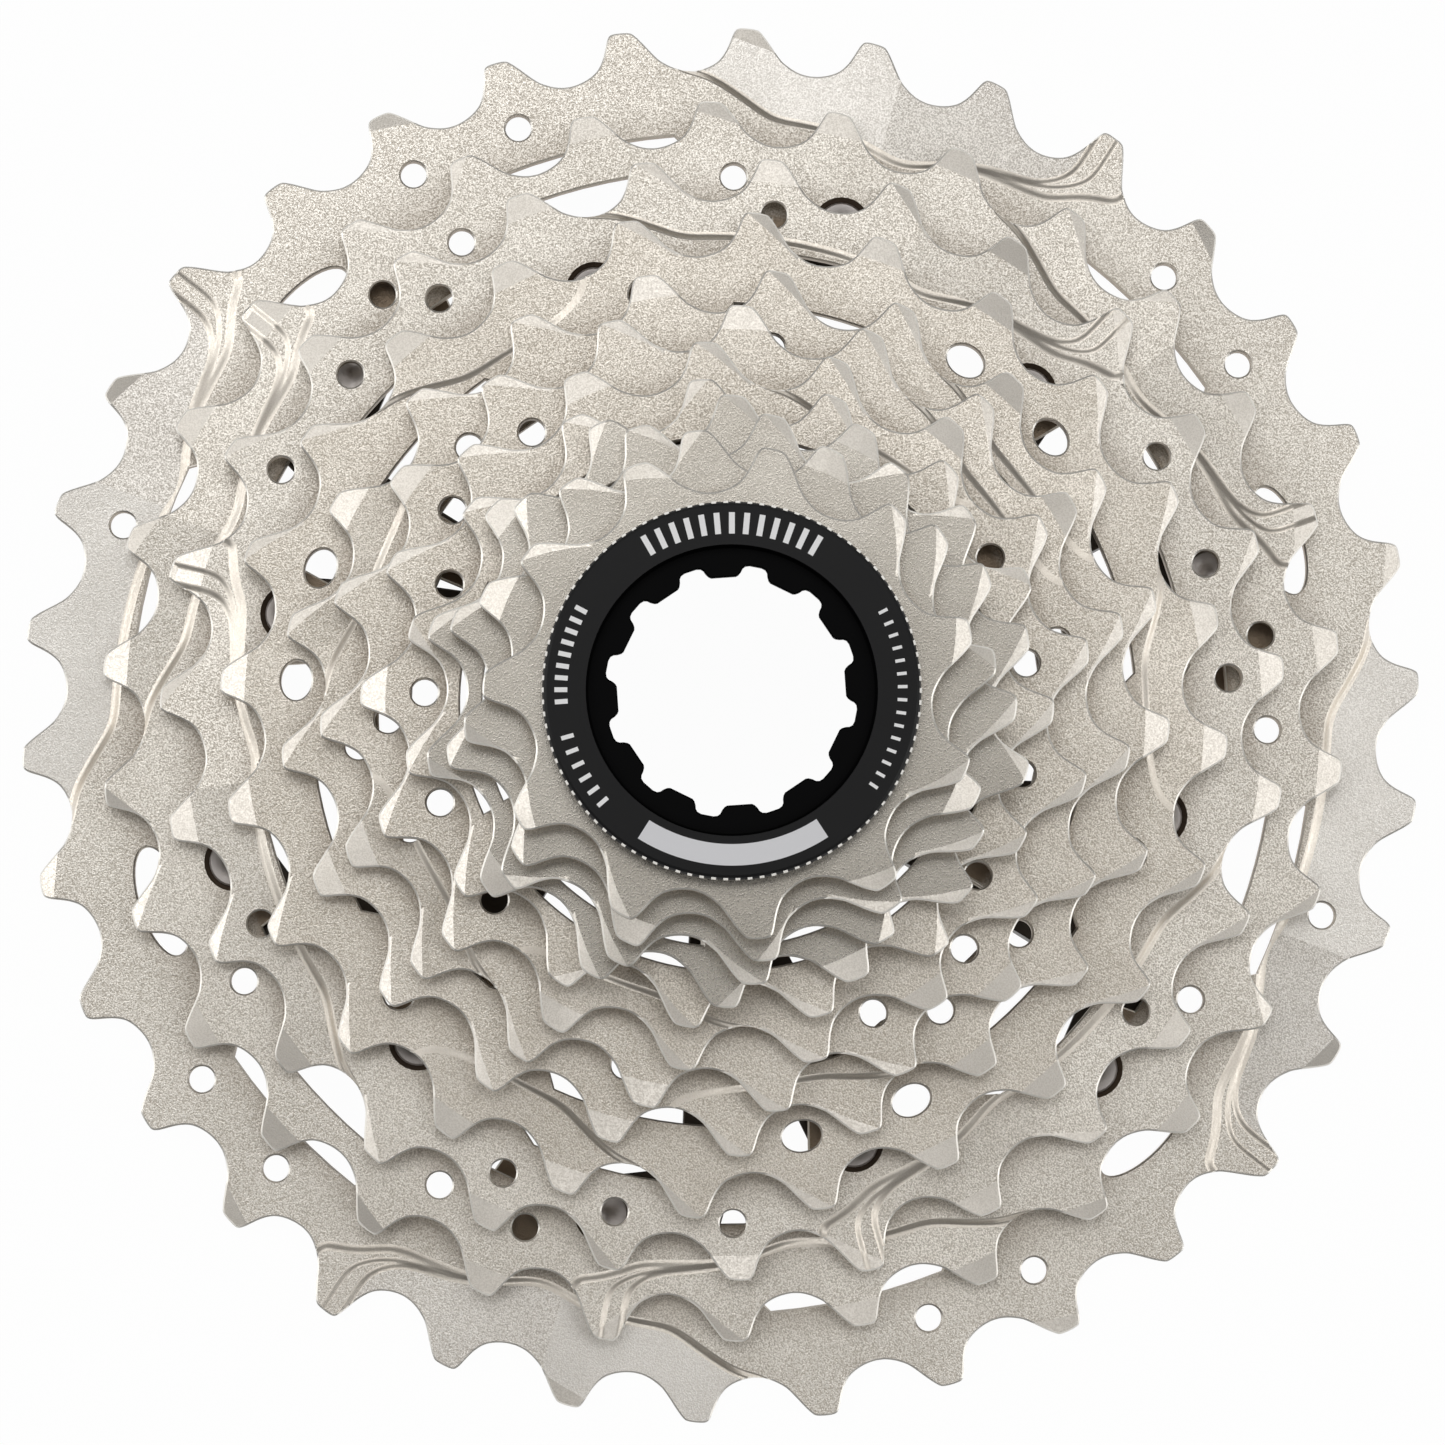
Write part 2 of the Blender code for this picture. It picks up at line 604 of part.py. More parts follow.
def lockring(base):
    """The threaded ring that holds the stack: a dished flange with a toothed tool socket, and a sleeve."""
    top = base + FLANGE_THICKNESS
    socket = []
    step = 360.0 / TOOL_TEETH
    for notch in around(TOOL_PHASE, TOOL_TEETH):
        socket += [polar(TOOL_RADIUS, notch - step * TOOL_NOTCH_SHARE),
                   polar(TOOL_RADIUS, notch + step * TOOL_NOTCH_SHARE),
                   polar(TOOL_TOOTH_RADIUS, notch + step * TOOL_TOOTH_SHARE),
                   polar(TOOL_TOOTH_RADIUS, notch + step * (1.0 - TOOL_TOOTH_SHARE))]
    draft = CLEARANCE / 2.0
    front_rims = [circle(FLANGE_RADIUS - FLANGE_BEVEL), circle(FLANGE_FLAT_RADIUS)]
    back_rims = [circle(SLEEVE_RADIUS), circle(SLEEVE_RADIUS - draft),
                 circle(SLEEVE_BORE + draft), circle(SLEEVE_BORE)]

    def front(point):
        radius = math.hypot(*point)
        if radius > FLANGE_RADIUS - FLANGE_BEVEL / 2.0:
            return top - FLANGE_BEVEL
        return top if radius > FLANGE_FLAT_RADIUS - draft else top - FLANGE_DISH

    def back(point):
        radius = math.hypot(*point)
        in_sleeve = SLEEVE_BORE + draft / 2.0 < radius < SLEEVE_RADIUS - draft / 2.0
        return base - SLEEVE_LENGTH if in_sleeve else base

    return solid("lockring", [circle(FLANGE_RADIUS), socket], front, back, front_rims, back_rims,
                 BLACK_FINISH, base)


def oval(radius, angle, width, height, sides):
    """A rounded opening that lies along a sprocket's rim."""
    x, y = polar(1.0, angle)
    centre = polar(radius, angle)
    loop = []
    for i in range(sides):
        turn = math.tau * (i + 0.5) / sides
        out = height / 2.0 * math.cos(turn)
        along = width / 2.0 * math.sin(turn)
        loop.append((centre[0] + out * x - along * y, centre[1] + out * y + along * x))
    return loop


def carried_sprockets():
    """The four largest sprockets: open rings with tabs, riveted to the carriers' arms."""
    slot_radius = root_radius(34) - RIM_34 - CLEARANCE
    ovals = [oval(slot_radius, angle, OVAL_WIDTH, OVAL_HEIGHT, OVAL_SIDES) for angle in OVAL_ANGLES]
    rim_holes = holes(root_radius(34) - HOLE_DROP_34, HOLES_34)
    sprocket(34, [inner_edge(34, REAR_RIVET_RADIUS), *ovals, *rim_holes], back_rivets=REAR_RIVETS)
    rim_holes = holes(root_radius(30) - HOLE_DROP_30, thrice(HOLES_30))
    sprocket(30, [inner_edge(30, REAR_RIVET_RADIUS), *rim_holes], front_rivets=REAR_RIVETS)
    rim_holes = holes(root_radius(27) - HOLE_DROP_27, thrice(HOLES_27))
    sprocket(27, [inner_edge(27, FRONT_RIVET_RADIUS), *rim_holes], front_rivets=FRONT_RIVETS)
    row = root_radius(24) - HOLE_DROP_24
    long_holes = [oval(row, angle, HOLE_24_WIDTH, 2.0 * HOLE_24_RADIUS, HOLE_SIDES)
                  for angle in thrice(LONG_HOLES_24)]
    rim_holes = holes(row, thrice(HOLES_24), HOLE_24_RADIUS)
    sprocket(24, [inner_edge(24, INNER_RIVET_RADIUS), *long_holes, *rim_holes], front_rivets=INNER_RIVETS)


def single_sprockets():
    """The eight smaller sprockets: each slides on the splines by itself."""
    bore = splined_bore(BORE_RADIUS, KEY_RADIUS)
    rim_holes = holes(root_radius(21) - HOLE_DROP_21, under_teeth(21, HOLE_TEETH_21))
    sprocket(21, [bore, *windows(root_radius(21) - RIM_21, root_radius(21) - ARCH_21), *rim_holes])
    rim_holes = holes(root_radius(19) - HOLE_DROP_19, under_teeth(19, HOLE_TEETH_19))
    sprocket(19, [bore, *windows(root_radius(19) - RIM_19), *rim_holes])
    rim_holes = holes(root_radius(17) - HOLE_DROP_17, under_teeth(17, HOLE_TEETH_17))
    sprocket(17, [bore, *windows(root_radius(17) - RIM_17), *rim_holes])
    sprocket(15, [bore, *windows(root_radius(15) - RIM_15)])
    sprocket(14, [bore, *windows(root_radius(14) - RIM_14)])
    sprocket(13, [bore])
    sprocket(12, [bore])
    end_bore = splined_bore(END_BORE_RADIUS, END_KEY_RADIUS)
    sprocket(11, [end_bore], collar=SPROCKET_STEP - PLATE - CLEARANCE)


def rivets():
    """Three circles of rivets: each holds its sprockets to the arms of a carrier."""
    below_face = PLATE - RIVET_RECESS
    behind = plate_back(30) + PLATE + CLEARANCE + RIVET_RECESS
    for k in range(ARM_COUNT):
        rivet(f"rear_rivet_{k + 1}", REAR_RIVETS[k], RIVET_RECESS, plate_back(30) + below_face)
        rivet(f"front_rivet_{k + 1}", FRONT_RIVETS[k], behind, plate_back(27) + below_face)
        rivet(f"inner_rivet_{k + 1}", INNER_RIVETS[k], behind, plate_back(24) + below_face)


def spacers():
    """Plain rings that keep the single sprockets one step apart."""
    singles = [teeth for teeth in TOOTH_PHASE if 12 <= teeth <= 21]
    for larger, smaller in zip(singles, singles[1:]):
        low = plate_back(larger) + PLATE + CLEARANCE
        high = plate_back(smaller) - CLEARANCE
        ring(f"spacer_{larger}_{smaller}", SPACER_BORE, SPACER_RADIUS, low, high, SILVER_FINISH)


def build():
    """Every piece of the cassette, from the largest sprocket to the lockring."""
    carried_sprockets()
    single_sprockets()
    rear_carrier()
    front_carrier()
    rivets()
    spacers()
    washer_base = plate_back(11) + PLATE + CLEARANCE
    washer_top = washer_base + WASHER_THICKNESS
    ring("lockring_washer", SLEEVE_RADIUS + CLEARANCE, WASHER_RADIUS, washer_base, washer_top,
         SILVER_FINISH, washer_base)
    lockring(washer_top + CLEARANCE)


for leftover in list(bpy.data.objects):
    bpy.data.objects.remove(leftover, do_unlink=True)
build()
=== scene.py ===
# %% [markdown]
# A road bicycle cassette is a stack of toothed steel plates. The CAD frame already holds every
# plate, rivet, spacer and the lockring at its true place and size. This lesson dresses that
# frame: each CAD node gets a finer piece, with rounded tooth flanks, worn edges that also carry a
# painted highlight, shift ramps and a blasted nickel finish, and rides on the same body.

# %% Load the frame
import math

import bmesh
import bpy
import numpy as np
from mathutils import Matrix, Vector
from mathutils.geometry import delaunay_2d_cdt


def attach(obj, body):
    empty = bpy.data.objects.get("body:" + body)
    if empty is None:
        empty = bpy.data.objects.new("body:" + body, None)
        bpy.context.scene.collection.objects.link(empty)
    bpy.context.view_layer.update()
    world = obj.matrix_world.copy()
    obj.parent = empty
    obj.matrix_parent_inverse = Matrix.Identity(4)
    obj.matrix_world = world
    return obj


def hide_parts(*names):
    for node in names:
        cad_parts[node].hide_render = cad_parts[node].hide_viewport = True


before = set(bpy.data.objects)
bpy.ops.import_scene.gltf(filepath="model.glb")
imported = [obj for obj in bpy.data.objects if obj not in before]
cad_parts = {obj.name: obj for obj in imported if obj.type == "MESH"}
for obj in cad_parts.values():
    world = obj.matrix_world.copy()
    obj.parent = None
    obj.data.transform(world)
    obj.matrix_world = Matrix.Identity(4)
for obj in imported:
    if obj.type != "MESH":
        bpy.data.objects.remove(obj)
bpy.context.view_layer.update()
MM = 0.001

# %% [markdown]
# Shader sums are easier to read as Python. A small class wraps a socket, and the operators add
# Math nodes. Every other node comes from one method: its type, its settings, then its sockets.
# A socket goes by its name, or by its number where several share a name: i0 is the first one.


# %% A socket that can be added and multiplied
class Field:
    """A value in a node tree."""

    def __init__(self, tree, socket):
        self.tree = tree
        self.socket = socket

    def node(self, kind, settings=(), output=0, **inputs):
        made = self.tree.nodes.new(kind)
        for key, value in dict(settings).items():
            setattr(made, key, value)
        for key, value in inputs.items():
            number = key[1:]
            socket = made.inputs[int(number) if key[0] == "i" and number.isdigit() else key]
            if isinstance(value, Field):
                self.tree.links.new(value.socket, socket)
            else:
                socket.default_value = value
        return Field(self.tree, made.outputs[output])

    def math(self, operation, a, b=0.0):
        return self.node("ShaderNodeMath", {"operation": operation}, i0=a, i1=b)

    def __add__(self, other):
        return self.math("ADD", self, other)

    def __sub__(self, other):
        return self.math("SUBTRACT", self, other)

    def __rsub__(self, other):
        return self.math("SUBTRACT", other, self)

    def __mul__(self, other):
        return self.math("MULTIPLY", self, other)

    __radd__ = __add__
    __rmul__ = __mul__

    def between(self, low, high):
        """0 at low, 1 at high, smooth between."""
        settings = {"interpolation_type": "SMOOTHSTEP"}
        return self.node("ShaderNodeMapRange", settings, i0=self, i1=low, i2=high, i3=0.0, i4=1.0)

    def mix(self, a, b):
        """Colour a where this value is 0, colour b where it is 1."""
        return self.node("ShaderNodeMix", {"data_type": "RGBA"}, output=2, i0=self, i6=a, i7=b)


def new_material(name):
    """An empty node material: its shader, its tree as a field, and its object coordinates."""
    made = bpy.data.materials.new(name)
    made.use_nodes = True
    tree = made.node_tree
    shader = tree.nodes["Principled BSDF"]
    coordinates = tree.nodes.new("ShaderNodeTexCoord")
    return made, shader, Field(tree, coordinates.outputs["Object"])


def plug(field, shader, name):
    """Join a field to one of the shader's inputs."""
    field.tree.links.new(field.socket, shader.inputs[name])


print("field methods:", [name for name in vars(Field) if not name.startswith("_")])

# %% [markdown]
# Nickel plate over bead-blasted steel isn't one grey. It is a field of tiny pits, each with its
# own glint, over slow warm clouds where the plating is thinner. Two noises make the pits, one
# slow noise makes the clouds, and the same pits feed a shallow bump. The noise is turned, because
# a flat face that lies along its grid would cut it where it is weak. Where the next sprocket
# covers a plate, its colour is a painted brown shade, and a faint painted shade with a brown tint
# fades out across the open rim from the next sprocket's edge, so the plate also reads its distance
# from the axis.

# %% Blasted nickel
PIT = 0.00016
PIT_SPREAD = 0.15
CLOUD = 0.011
GRID_TURN = (0.61, 0.43, 0.27)
GLOSS_SPREAD = 0.12
# Painted shade: brown under the next sprocket, and a faint brown shade with a tint across the open rim.
PAINTED_COVER_SHADE = (0.21, 0.165, 0.12, 1)
COVER_FADE = -1.4, -0.2
SHADE_AND_STAIN = 0.42
SHADE_AND_STAIN_START = -0.5


def noise(field, place, scale, detail, roughness):
    """A noise of one size over some coordinates."""
    return field.node("ShaderNodeTexNoise", Vector=place, Scale=scale, Detail=detail, Roughness=roughness)


def from_axis(place):
    """Distance from the cassette's axis."""
    across = place.node("ShaderNodeSeparateXYZ", Vector=place)
    up = Field(place.tree, across.socket.node.outputs["Y"])
    return place.math("SQRT", across * across + up * up)


def blasted_nickel(name, light, dark, pits, roughness, bump, cover=0.0, reach=0.0):
    """Blasted steel: two tones, strength of its pits, gloss, bump, covered radius, reach of its painted shade
    and tint.
    """
    made, shader, place = new_material(name)
    aslant = place.node("ShaderNodeMapping", Vector=place, Rotation=GRID_TURN)
    fine = noise(place, aslant, 1.0 / PIT, 1.0, 0.6)
    coarse = noise(place, aslant, 0.45 / PIT, 1.0, 0.5)
    cloud = noise(place, place, 1.0 / CLOUD, 2.0, 0.5)
    grain = fine * 0.85 + coarse * 0.15
    speckle = grain.between(0.5 - PIT_SPREAD, 0.5 + PIT_SPREAD)
    tone = speckle * pits + (cloud.between(0.3, 0.7) * 0.4 + 0.48) * (1.0 - pits)
    colour = tone.mix(dark, light)
    # Painted shade: brown where the next sprocket covers the plate, and a fainter brown shade with a tint
    # that fades out across the open rim.
    if cover:
        radius = from_axis(place)
        shade_and_stain = radius.between((cover + SHADE_AND_STAIN_START) * MM, (cover + reach) * MM)
        colour = (shade_and_stain * SHADE_AND_STAIN + (1.0 - SHADE_AND_STAIN)).mix(PAINTED_COVER_SHADE, colour)
        open_rim = radius.between(*[(cover + fade) * MM for fade in COVER_FADE])
        colour = open_rim.mix(PAINTED_COVER_SHADE, colour)
    plug(colour, shader, "Base Color")
    plug(roughness + (0.5 - speckle) * GLOSS_SPREAD, shader, "Roughness")
    shader.inputs["Metallic"].default_value = 1.0
    relief = place.node("ShaderNodeBump", i0=bump, i1=PIT * 0.5, Height=grain)
    plug(relief, shader, "Normal")
    return made


LARGE_NICKEL = (0.93, 0.885, 0.81, 1), (0.36, 0.32, 0.265, 1), 0.76, 0.38, 0.45
MIDDLE_NICKEL = (0.90, 0.845, 0.76, 1), (0.34, 0.295, 0.235, 1), 0.70, 0.36, 0.42
SMALL_NICKEL = (0.67, 0.63, 0.565, 1), (0.38, 0.345, 0.295, 1), 0.42, 0.30, 0.20
POCKET = blasted_nickel("pressed_pocket", (0.88, 0.845, 0.79, 1), (0.39, 0.355, 0.31, 1), 0.72, 0.40, 0.45)
SLOPE = blasted_nickel("rolled_slope", (0.88, 0.85, 0.80, 1), (0.52, 0.485, 0.435, 1), 0.52, 0.40, 0.40)
FACET = blasted_nickel("ground_facet", (0.87, 0.825, 0.755, 1), (0.60, 0.555, 0.49, 1), 0.45, 0.38, 0.12)
FLANK = blasted_nickel("pressed_flank", (0.90, 0.845, 0.76, 1), (0.64, 0.575, 0.49, 1), 0.30, 0.40, 0.10)
# Partly the darker sheared edge of a stamped plate and partly painted shade on the side walls.
SHADED_WALL = blasted_nickel("sheared_wall_and_shade", (0.44, 0.37, 0.295, 1), (0.22, 0.175, 0.13, 1), 0.45, 0.50, 0.30)
print("pressed finishes:", [m.name for m in (POCKET, SLOPE, FACET, FLANK, SHADED_WALL)])

# %% [markdown]
# The other finishes are plainer: dark anodised carriers, satin alloy spacers, steel rivets, and
# a lockring in black satin. The worn edge is a lighter colour that is also a painted highlight, and
# the rivet recesses and the lockring's dish take painted shade. One noise makes each gloss a little
# uneven, as on any handled metal.


# %% Plain finishes
def plain_finish(name, colour, roughness, metallic, mottle=0.0, size=0.002, shine=0.5):
    """One colour with a slightly uneven gloss."""
    made, shader, place = new_material(name)
    shader.inputs["Base Color"].default_value = colour
    shader.inputs["Metallic"].default_value = metallic
    shader.inputs["Specular IOR Level"].default_value = shine
    uneven = place.node("ShaderNodeTexNoise", Vector=place, Scale=1.0 / size, Detail=2.0)
    plug(roughness + (uneven - 0.5) * mottle, shader, "Roughness")
    return made


GRAPHITE = plain_finish("carrier_anodised", (0.075, 0.066, 0.058, 1), 0.45, 1.0, 0.15)
ALLOY = plain_finish("spacer_satin_alloy", (0.62, 0.60, 0.57, 1), 0.40, 1.0, 0.10)
RIVET_STEEL = plain_finish("rivet_satin_steel", (0.46, 0.43, 0.41, 1), 0.42, 1.0, 0.25, 0.0005)
BLACK = plain_finish("lockring_black_satin", (0.0045, 0.0045, 0.005, 1), 0.40, 0.0, 0.08, 0.002, 0.22)
# Painted shade: the lockring's dish is a deeper black than the flange.
DISH_SHADE_BLACK = plain_finish("socket_dish_painted_shade", (0.0012, 0.0012, 0.0014, 1), 0.55, 0.0, 0.08, 0.002, 0.05)
BRIGHT = plain_finish("serration_bright_edge", (0.80, 0.78, 0.74, 1), 0.40, 1.0)
# Partly wear and partly painted highlight: the bevels take a lighter colour than the face.
WORN_EDGE_HIGHLIGHT = plain_finish("polished_edge_and_highlight", (0.90, 0.87, 0.81, 1), 0.40, 1.0, 0.15, 0.0008)
# Painted shade: a dark brown in the countersinks round the rivet heads.
RECESS_SHADE = plain_finish("rivet_recess_painted_shade", (0.16, 0.12, 0.088, 1), 0.60, 1.0, 0.10)
SILVER = plain_finish("lockring_silver_bar", (0.70, 0.70, 0.72, 1), 0.55, 0.0)
PALE = plain_finish("lockring_pale_ticks", (0.86, 0.86, 0.86, 1), 0.55, 0.0)
print("finishes so far:", len(bpy.data.materials))

# %% [markdown]
# Every plate is cut from sheet, so it starts as flat lines: an outline that runs
# counter-clockwise, and openings that run clockwise. The helpers below draw such lines in
# millimetres, move a loop sideways, and soften a line that was typed as a few points.


# %% Lines and loops, in millimetres
def polar(radius, degrees):
    """Points at a radius and an angle about the axis."""
    turn = np.radians(degrees)
    return np.stack([radius * np.cos(turn), radius * np.sin(turn)], axis=-1)


def arc(radius, start, end, step=2.5):
    """Points along an arc, both ends included."""
    return polar(radius, np.linspace(start, end, max(2, int(abs(end - start) / step) + 1)))


def circle(radius, centre=(0.0, 0.0), sides=28):
    """A clockwise ring of points, as an opening in a plate."""
    return polar(radius, -360.0 * np.arange(sides) / sides) + np.asarray(centre)


def around(angle, count=6):
    """Equal angles round the axis."""
    return angle + 360.0 * np.arange(count) / count


def offset(loop, distance):
    """A closed loop moved to its left, so an outline shrinks and a clockwise opening grows."""
    ahead = np.roll(loop, -1, axis=0) - loop
    ahead /= np.linalg.norm(ahead, axis=1)[:, None]
    normal = np.stack([-ahead[:, 1], ahead[:, 0]], axis=1)
    both = normal + np.roll(normal, 1, axis=0)
    scale = 2.0 * distance / np.maximum((both ** 2).sum(axis=1), 0.6)
    return loop + both * scale[:, None]


def smooth_line(points, between=4):
    """A soft curve through a few points, ends included."""
    points = np.asarray(points, float)
    made = []
    padded = np.vstack([2 * points[0] - points[1], points, 2 * points[-1] - points[-2]])
    for p0, p1, p2, p3 in zip(padded, padded[1:], padded[2:], padded[3:]):
        for t in np.arange(between) / between:
            made.append(0.5 * (2 * p1 + (p2 - p0) * t + (2 * p0 - 5 * p1 + 4 * p2 - p3) * t ** 2
                               + (3 * p1 - p0 - 3 * p2 + p3) * t ** 3))
    return np.vstack([made, points[-1:]])


def relaxed(points, passes=20):
    """The same line with its bends eased, ends kept."""
    points = points.copy()
    for _ in range(passes):
        points[1:-1] = points[:-2] * 0.25 + points[1:-1] * 0.5 + points[2:] * 0.25
    return points


print("points on a quarter turn:", len(arc(1.0, 0.0, 90.0)))

# %% [markdown]
# Heights and finishes depend on whether a point lies inside a loop, and how deep. A ray test
# answers the first, and the distance to the nearest edge answers the second. Both work on whole
# arrays, so thousands of points take little time.


# %% Points inside a loop
def inside(points, loop):
    """True for each point that lies inside a closed loop."""
    x, y = points[:, 0], points[:, 1]
    hit = np.zeros(len(points), bool)
    for (x0, y0), (x1, y1) in zip(loop, np.roll(loop, -1, axis=0)):
        if y0 != y1:
            hit ^= ((y0 > y) != (y1 > y)) & (x < x0 + (y - y0) * (x1 - x0) / (y1 - y0))
    return hit


def depth_inside(points, loop):
    """How far each point lies inside a closed loop, and 0 outside it."""
    made = np.zeros(len(points))
    within = inside(points, loop)
    run = np.roll(loop, -1, axis=0) - loop
    away = points[within][:, None, :] - loop
    share = np.clip((away * run).sum(axis=2) / (run ** 2).sum(axis=1), 0.0, 1.0)
    made[within] = np.linalg.norm(away - share[:, :, None] * run, axis=2).min(axis=1)
    return made


print("depth at a circle's centre:", round(float(depth_inside(np.zeros((1, 2)), circle(1.0))[0]), 2))

# %% [markdown]
# A constrained triangulation fills an outline and follows every line that is drawn in it, so a
# ramp's edge stays crisp without a dense grid. Points closer than a tiny distance are merged, and
# a sliver left along the rim is dropped.

# %% Triangles between lines
MERGE = 0.002
SLIVER = 1e-4


def edges_of(faces):
    """The three edges of each triangle, in its direction."""
    return np.vstack([faces[:, [0, 1]], faces[:, [1, 2]], faces[:, [2, 0]]])


def net(points, edges, loops):
    """Triangles that fill the outline, leave its openings and follow every edge."""
    vectors = [Vector(p) for p in points]
    flat, _, faces, sources, _, _ = delaunay_2d_cdt(vectors, edges, [], 0, MERGE)
    flat = np.array([(v.x, v.y) for v in flat])
    faces = np.array(faces)
    a, b, c = (flat[faces[:, i]] for i in range(3))
    area = (b[:, 0] - a[:, 0]) * (c[:, 1] - a[:, 1]) - (b[:, 1] - a[:, 1]) * (c[:, 0] - a[:, 0])
    faces[area < 0] = faces[area < 0][:, ::-1]
    middle = (a + b + c) / 3.0
    keep = np.zeros(len(faces), bool)
    for loop in loops:
        keep ^= inside(middle, loop)
    known = set(map(tuple, edges_of(faces[keep]).tolist()))
    for i in np.flatnonzero(keep & (np.abs(area) < SLIVER)):
        keep[i] = all((end, start) in known for start, end in edges_of(faces[i:i + 1]).tolist())
    return flat, faces[keep], sources


def chain(lines, closed, first=0):
    """The points of some lines, and the edges along them."""
    points, edges = [], []
    for line in lines:
        start = first + len(points)
        points.extend(map(tuple, line))
        count = len(line)
        links = count if closed else count - 1
        edges.extend((start + i, start + (i + 1) % count) for i in range(links))
    return points, edges


def rim_of(faces):
    """The edges that belong to one triangle only, in that triangle's direction."""
    sides = edges_of(faces).tolist()
    known = set(map(tuple, sides))
    return [(a, b) for a, b in sides if (b, a) not in known]


square = chain([[(0.0, 0.0), (1.0, 0.0), (1.0, 1.0), (0.0, 1.0)]], True)
print("a square as triangles:", len(net(*square, [np.array(square[0])])[1]))

# %% [markdown] A piece is a mesh with its finishes, one number on each face for the finish it
# takes, and flat or smooth shading. Faces too small to see are dissolved, so that the mesh stays
# closed and clean.

# %% A named piece
SHORT = 2e-6
SHARP = math.radians(28.0)


def make_piece(name, vertices, faces, finishes, smooth=True, zones=None):
    """A named piece from vertices in metres and faces, with its smooth faces and its zones marked."""
    used = sorted({corner for face in faces for corner in face})
    order = {corner: i for i, corner in enumerate(used)}
    mesh = bpy.data.meshes.new(name)
    mesh.from_pydata(vertices[used].tolist(), [], [[order[corner] for corner in face] for face in faces])
    for material in finishes:
        mesh.materials.append(material)
    mesh.shade_smooth()
    mesh.set_sharp_from_angle(angle=SHARP)
    mesh.polygons.foreach_set("use_smooth", np.ones(len(mesh.polygons), bool) & smooth)
    if zones is not None:
        mesh.polygons.foreach_set("material_index", zones)
    whole = bmesh.new()
    whole.from_mesh(mesh)
    bmesh.ops.dissolve_degenerate(whole, dist=SHORT, edges=whole.edges)
    whole.to_mesh(mesh)
    whole.free()
    mesh.validate()
    piece = bpy.data.objects.new(name, mesh)
    bpy.context.scene.collection.objects.link(piece)
    return piece


def dress(piece, nodes, body="sprocket_stack"):
    """Let a piece stand for CAD nodes and ride on their body."""
    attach(piece, body)
    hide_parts(*nodes)


print("edges count as sharp from", round(math.degrees(SHARP)), "degrees")

# %% [markdown]
# A plate stands between two height functions, one for its front and one for its back. It could be
# an extruded outline with a Bevel modifier, but ramps and facets cross the edges, and a bevel would
# stumble there. So a second line runs just inside each edge, and the edge itself drops a little:
# the worn bevel that shows as a bright thread round every tooth. Its lighter colour is partly wear
# and partly a painted highlight, and the side walls take a darker colour that is partly the sheared
# edge and partly painted shade.

# %% A plate
BEVEL = 0.16
BEVEL_FALL = BEVEL * 0.8


def plate(name, loops, front, back, material, creases=(), rings=(), back_rings=(), worn_edges_and_wall_shade=True, paints=()):
    """A sheet piece between two height functions, with worn edges that carry a painted highlight, walls with
    painted shade, sharp creases and painted zones.
    """
    loops = [np.asarray(loop, float) for loop in loops]
    insets = [offset(loop, BEVEL) for loop in loops]
    points, edges = chain(loops + insets + [*rings, *back_rings], True)
    more, more_edges = chain(creases, False, len(points))
    flat, top_faces, _ = net(points + more, edges + more_edges, loops)
    rim = rim_of(top_faces)
    corners = sorted({i for edge in rim for i in edge})
    height = front(flat)
    height[corners] -= BEVEL_FALL
    order = {corner: i for i, corner in enumerate(corners)}
    points, edges = chain(insets + list(back_rings), True, len(corners))
    low_flat, low_faces, sources = net(list(map(tuple, flat[corners])) + points,
                                       [(order[a], order[b]) for a, b in rim] + edges, loops)
    low_height = back(low_flat)
    low_of = {}
    for i, source in enumerate(sources):
        for j in source:
            if j < len(corners):
                low_of[corners[j]] = i + len(flat)
                low_height[i] = back(low_flat[i:i + 1])[0] + BEVEL_FALL
    upper, lower = np.column_stack([flat, height]), np.column_stack([low_flat, low_height])
    faces = top_faces.tolist() + (low_faces[:, ::-1] + len(flat)).tolist()
    flats = len(faces)
    for a, b in rim:
        if a in low_of and b in low_of:
            faces.append([b, a, low_of[a], low_of[b]])
    finishes = [material] + [paint for paint, _ in paints]
    zones = np.zeros(len(faces), int)
    middle = flat[top_faces].mean(axis=1)
    for i, (_, zone) in enumerate(paints):
        zones[:len(middle)][zone(middle)] = i + 1
    smooth = np.arange(len(faces)) >= flats
    smooth |= np.array([paint is FLANK for paint in finishes])[zones]
    # Bevel faces take the lighter worn edge that is also a painted highlight, and the side walls take a
    # darker colour that is partly the sheared edge and partly painted shade.
    if worn_edges_and_wall_shade:
        zones[:len(middle)][np.isin(top_faces, corners).any(axis=1)] = len(finishes)
        zones[flats:] = len(finishes) + 1
        finishes += [WORN_EDGE_HIGHLIGHT, SHADED_WALL]
    return make_piece(name, np.vstack([upper, lower]) * MM, faces, finishes, smooth, zones)


print("worn bevel:", BEVEL, "mm wide")

# %% [markdown]
# A tooth is the same on every sprocket, because the same chain runs on all of them. Its profile
# was read off the photograph: a steep leading flank, a longer trailing flank and a short flat
# tip. The list below is that profile, as distance along the pitch circle and height above the
# root. Each sprocket wraps it round its own circle, and a gate's tooth stands a little taller.

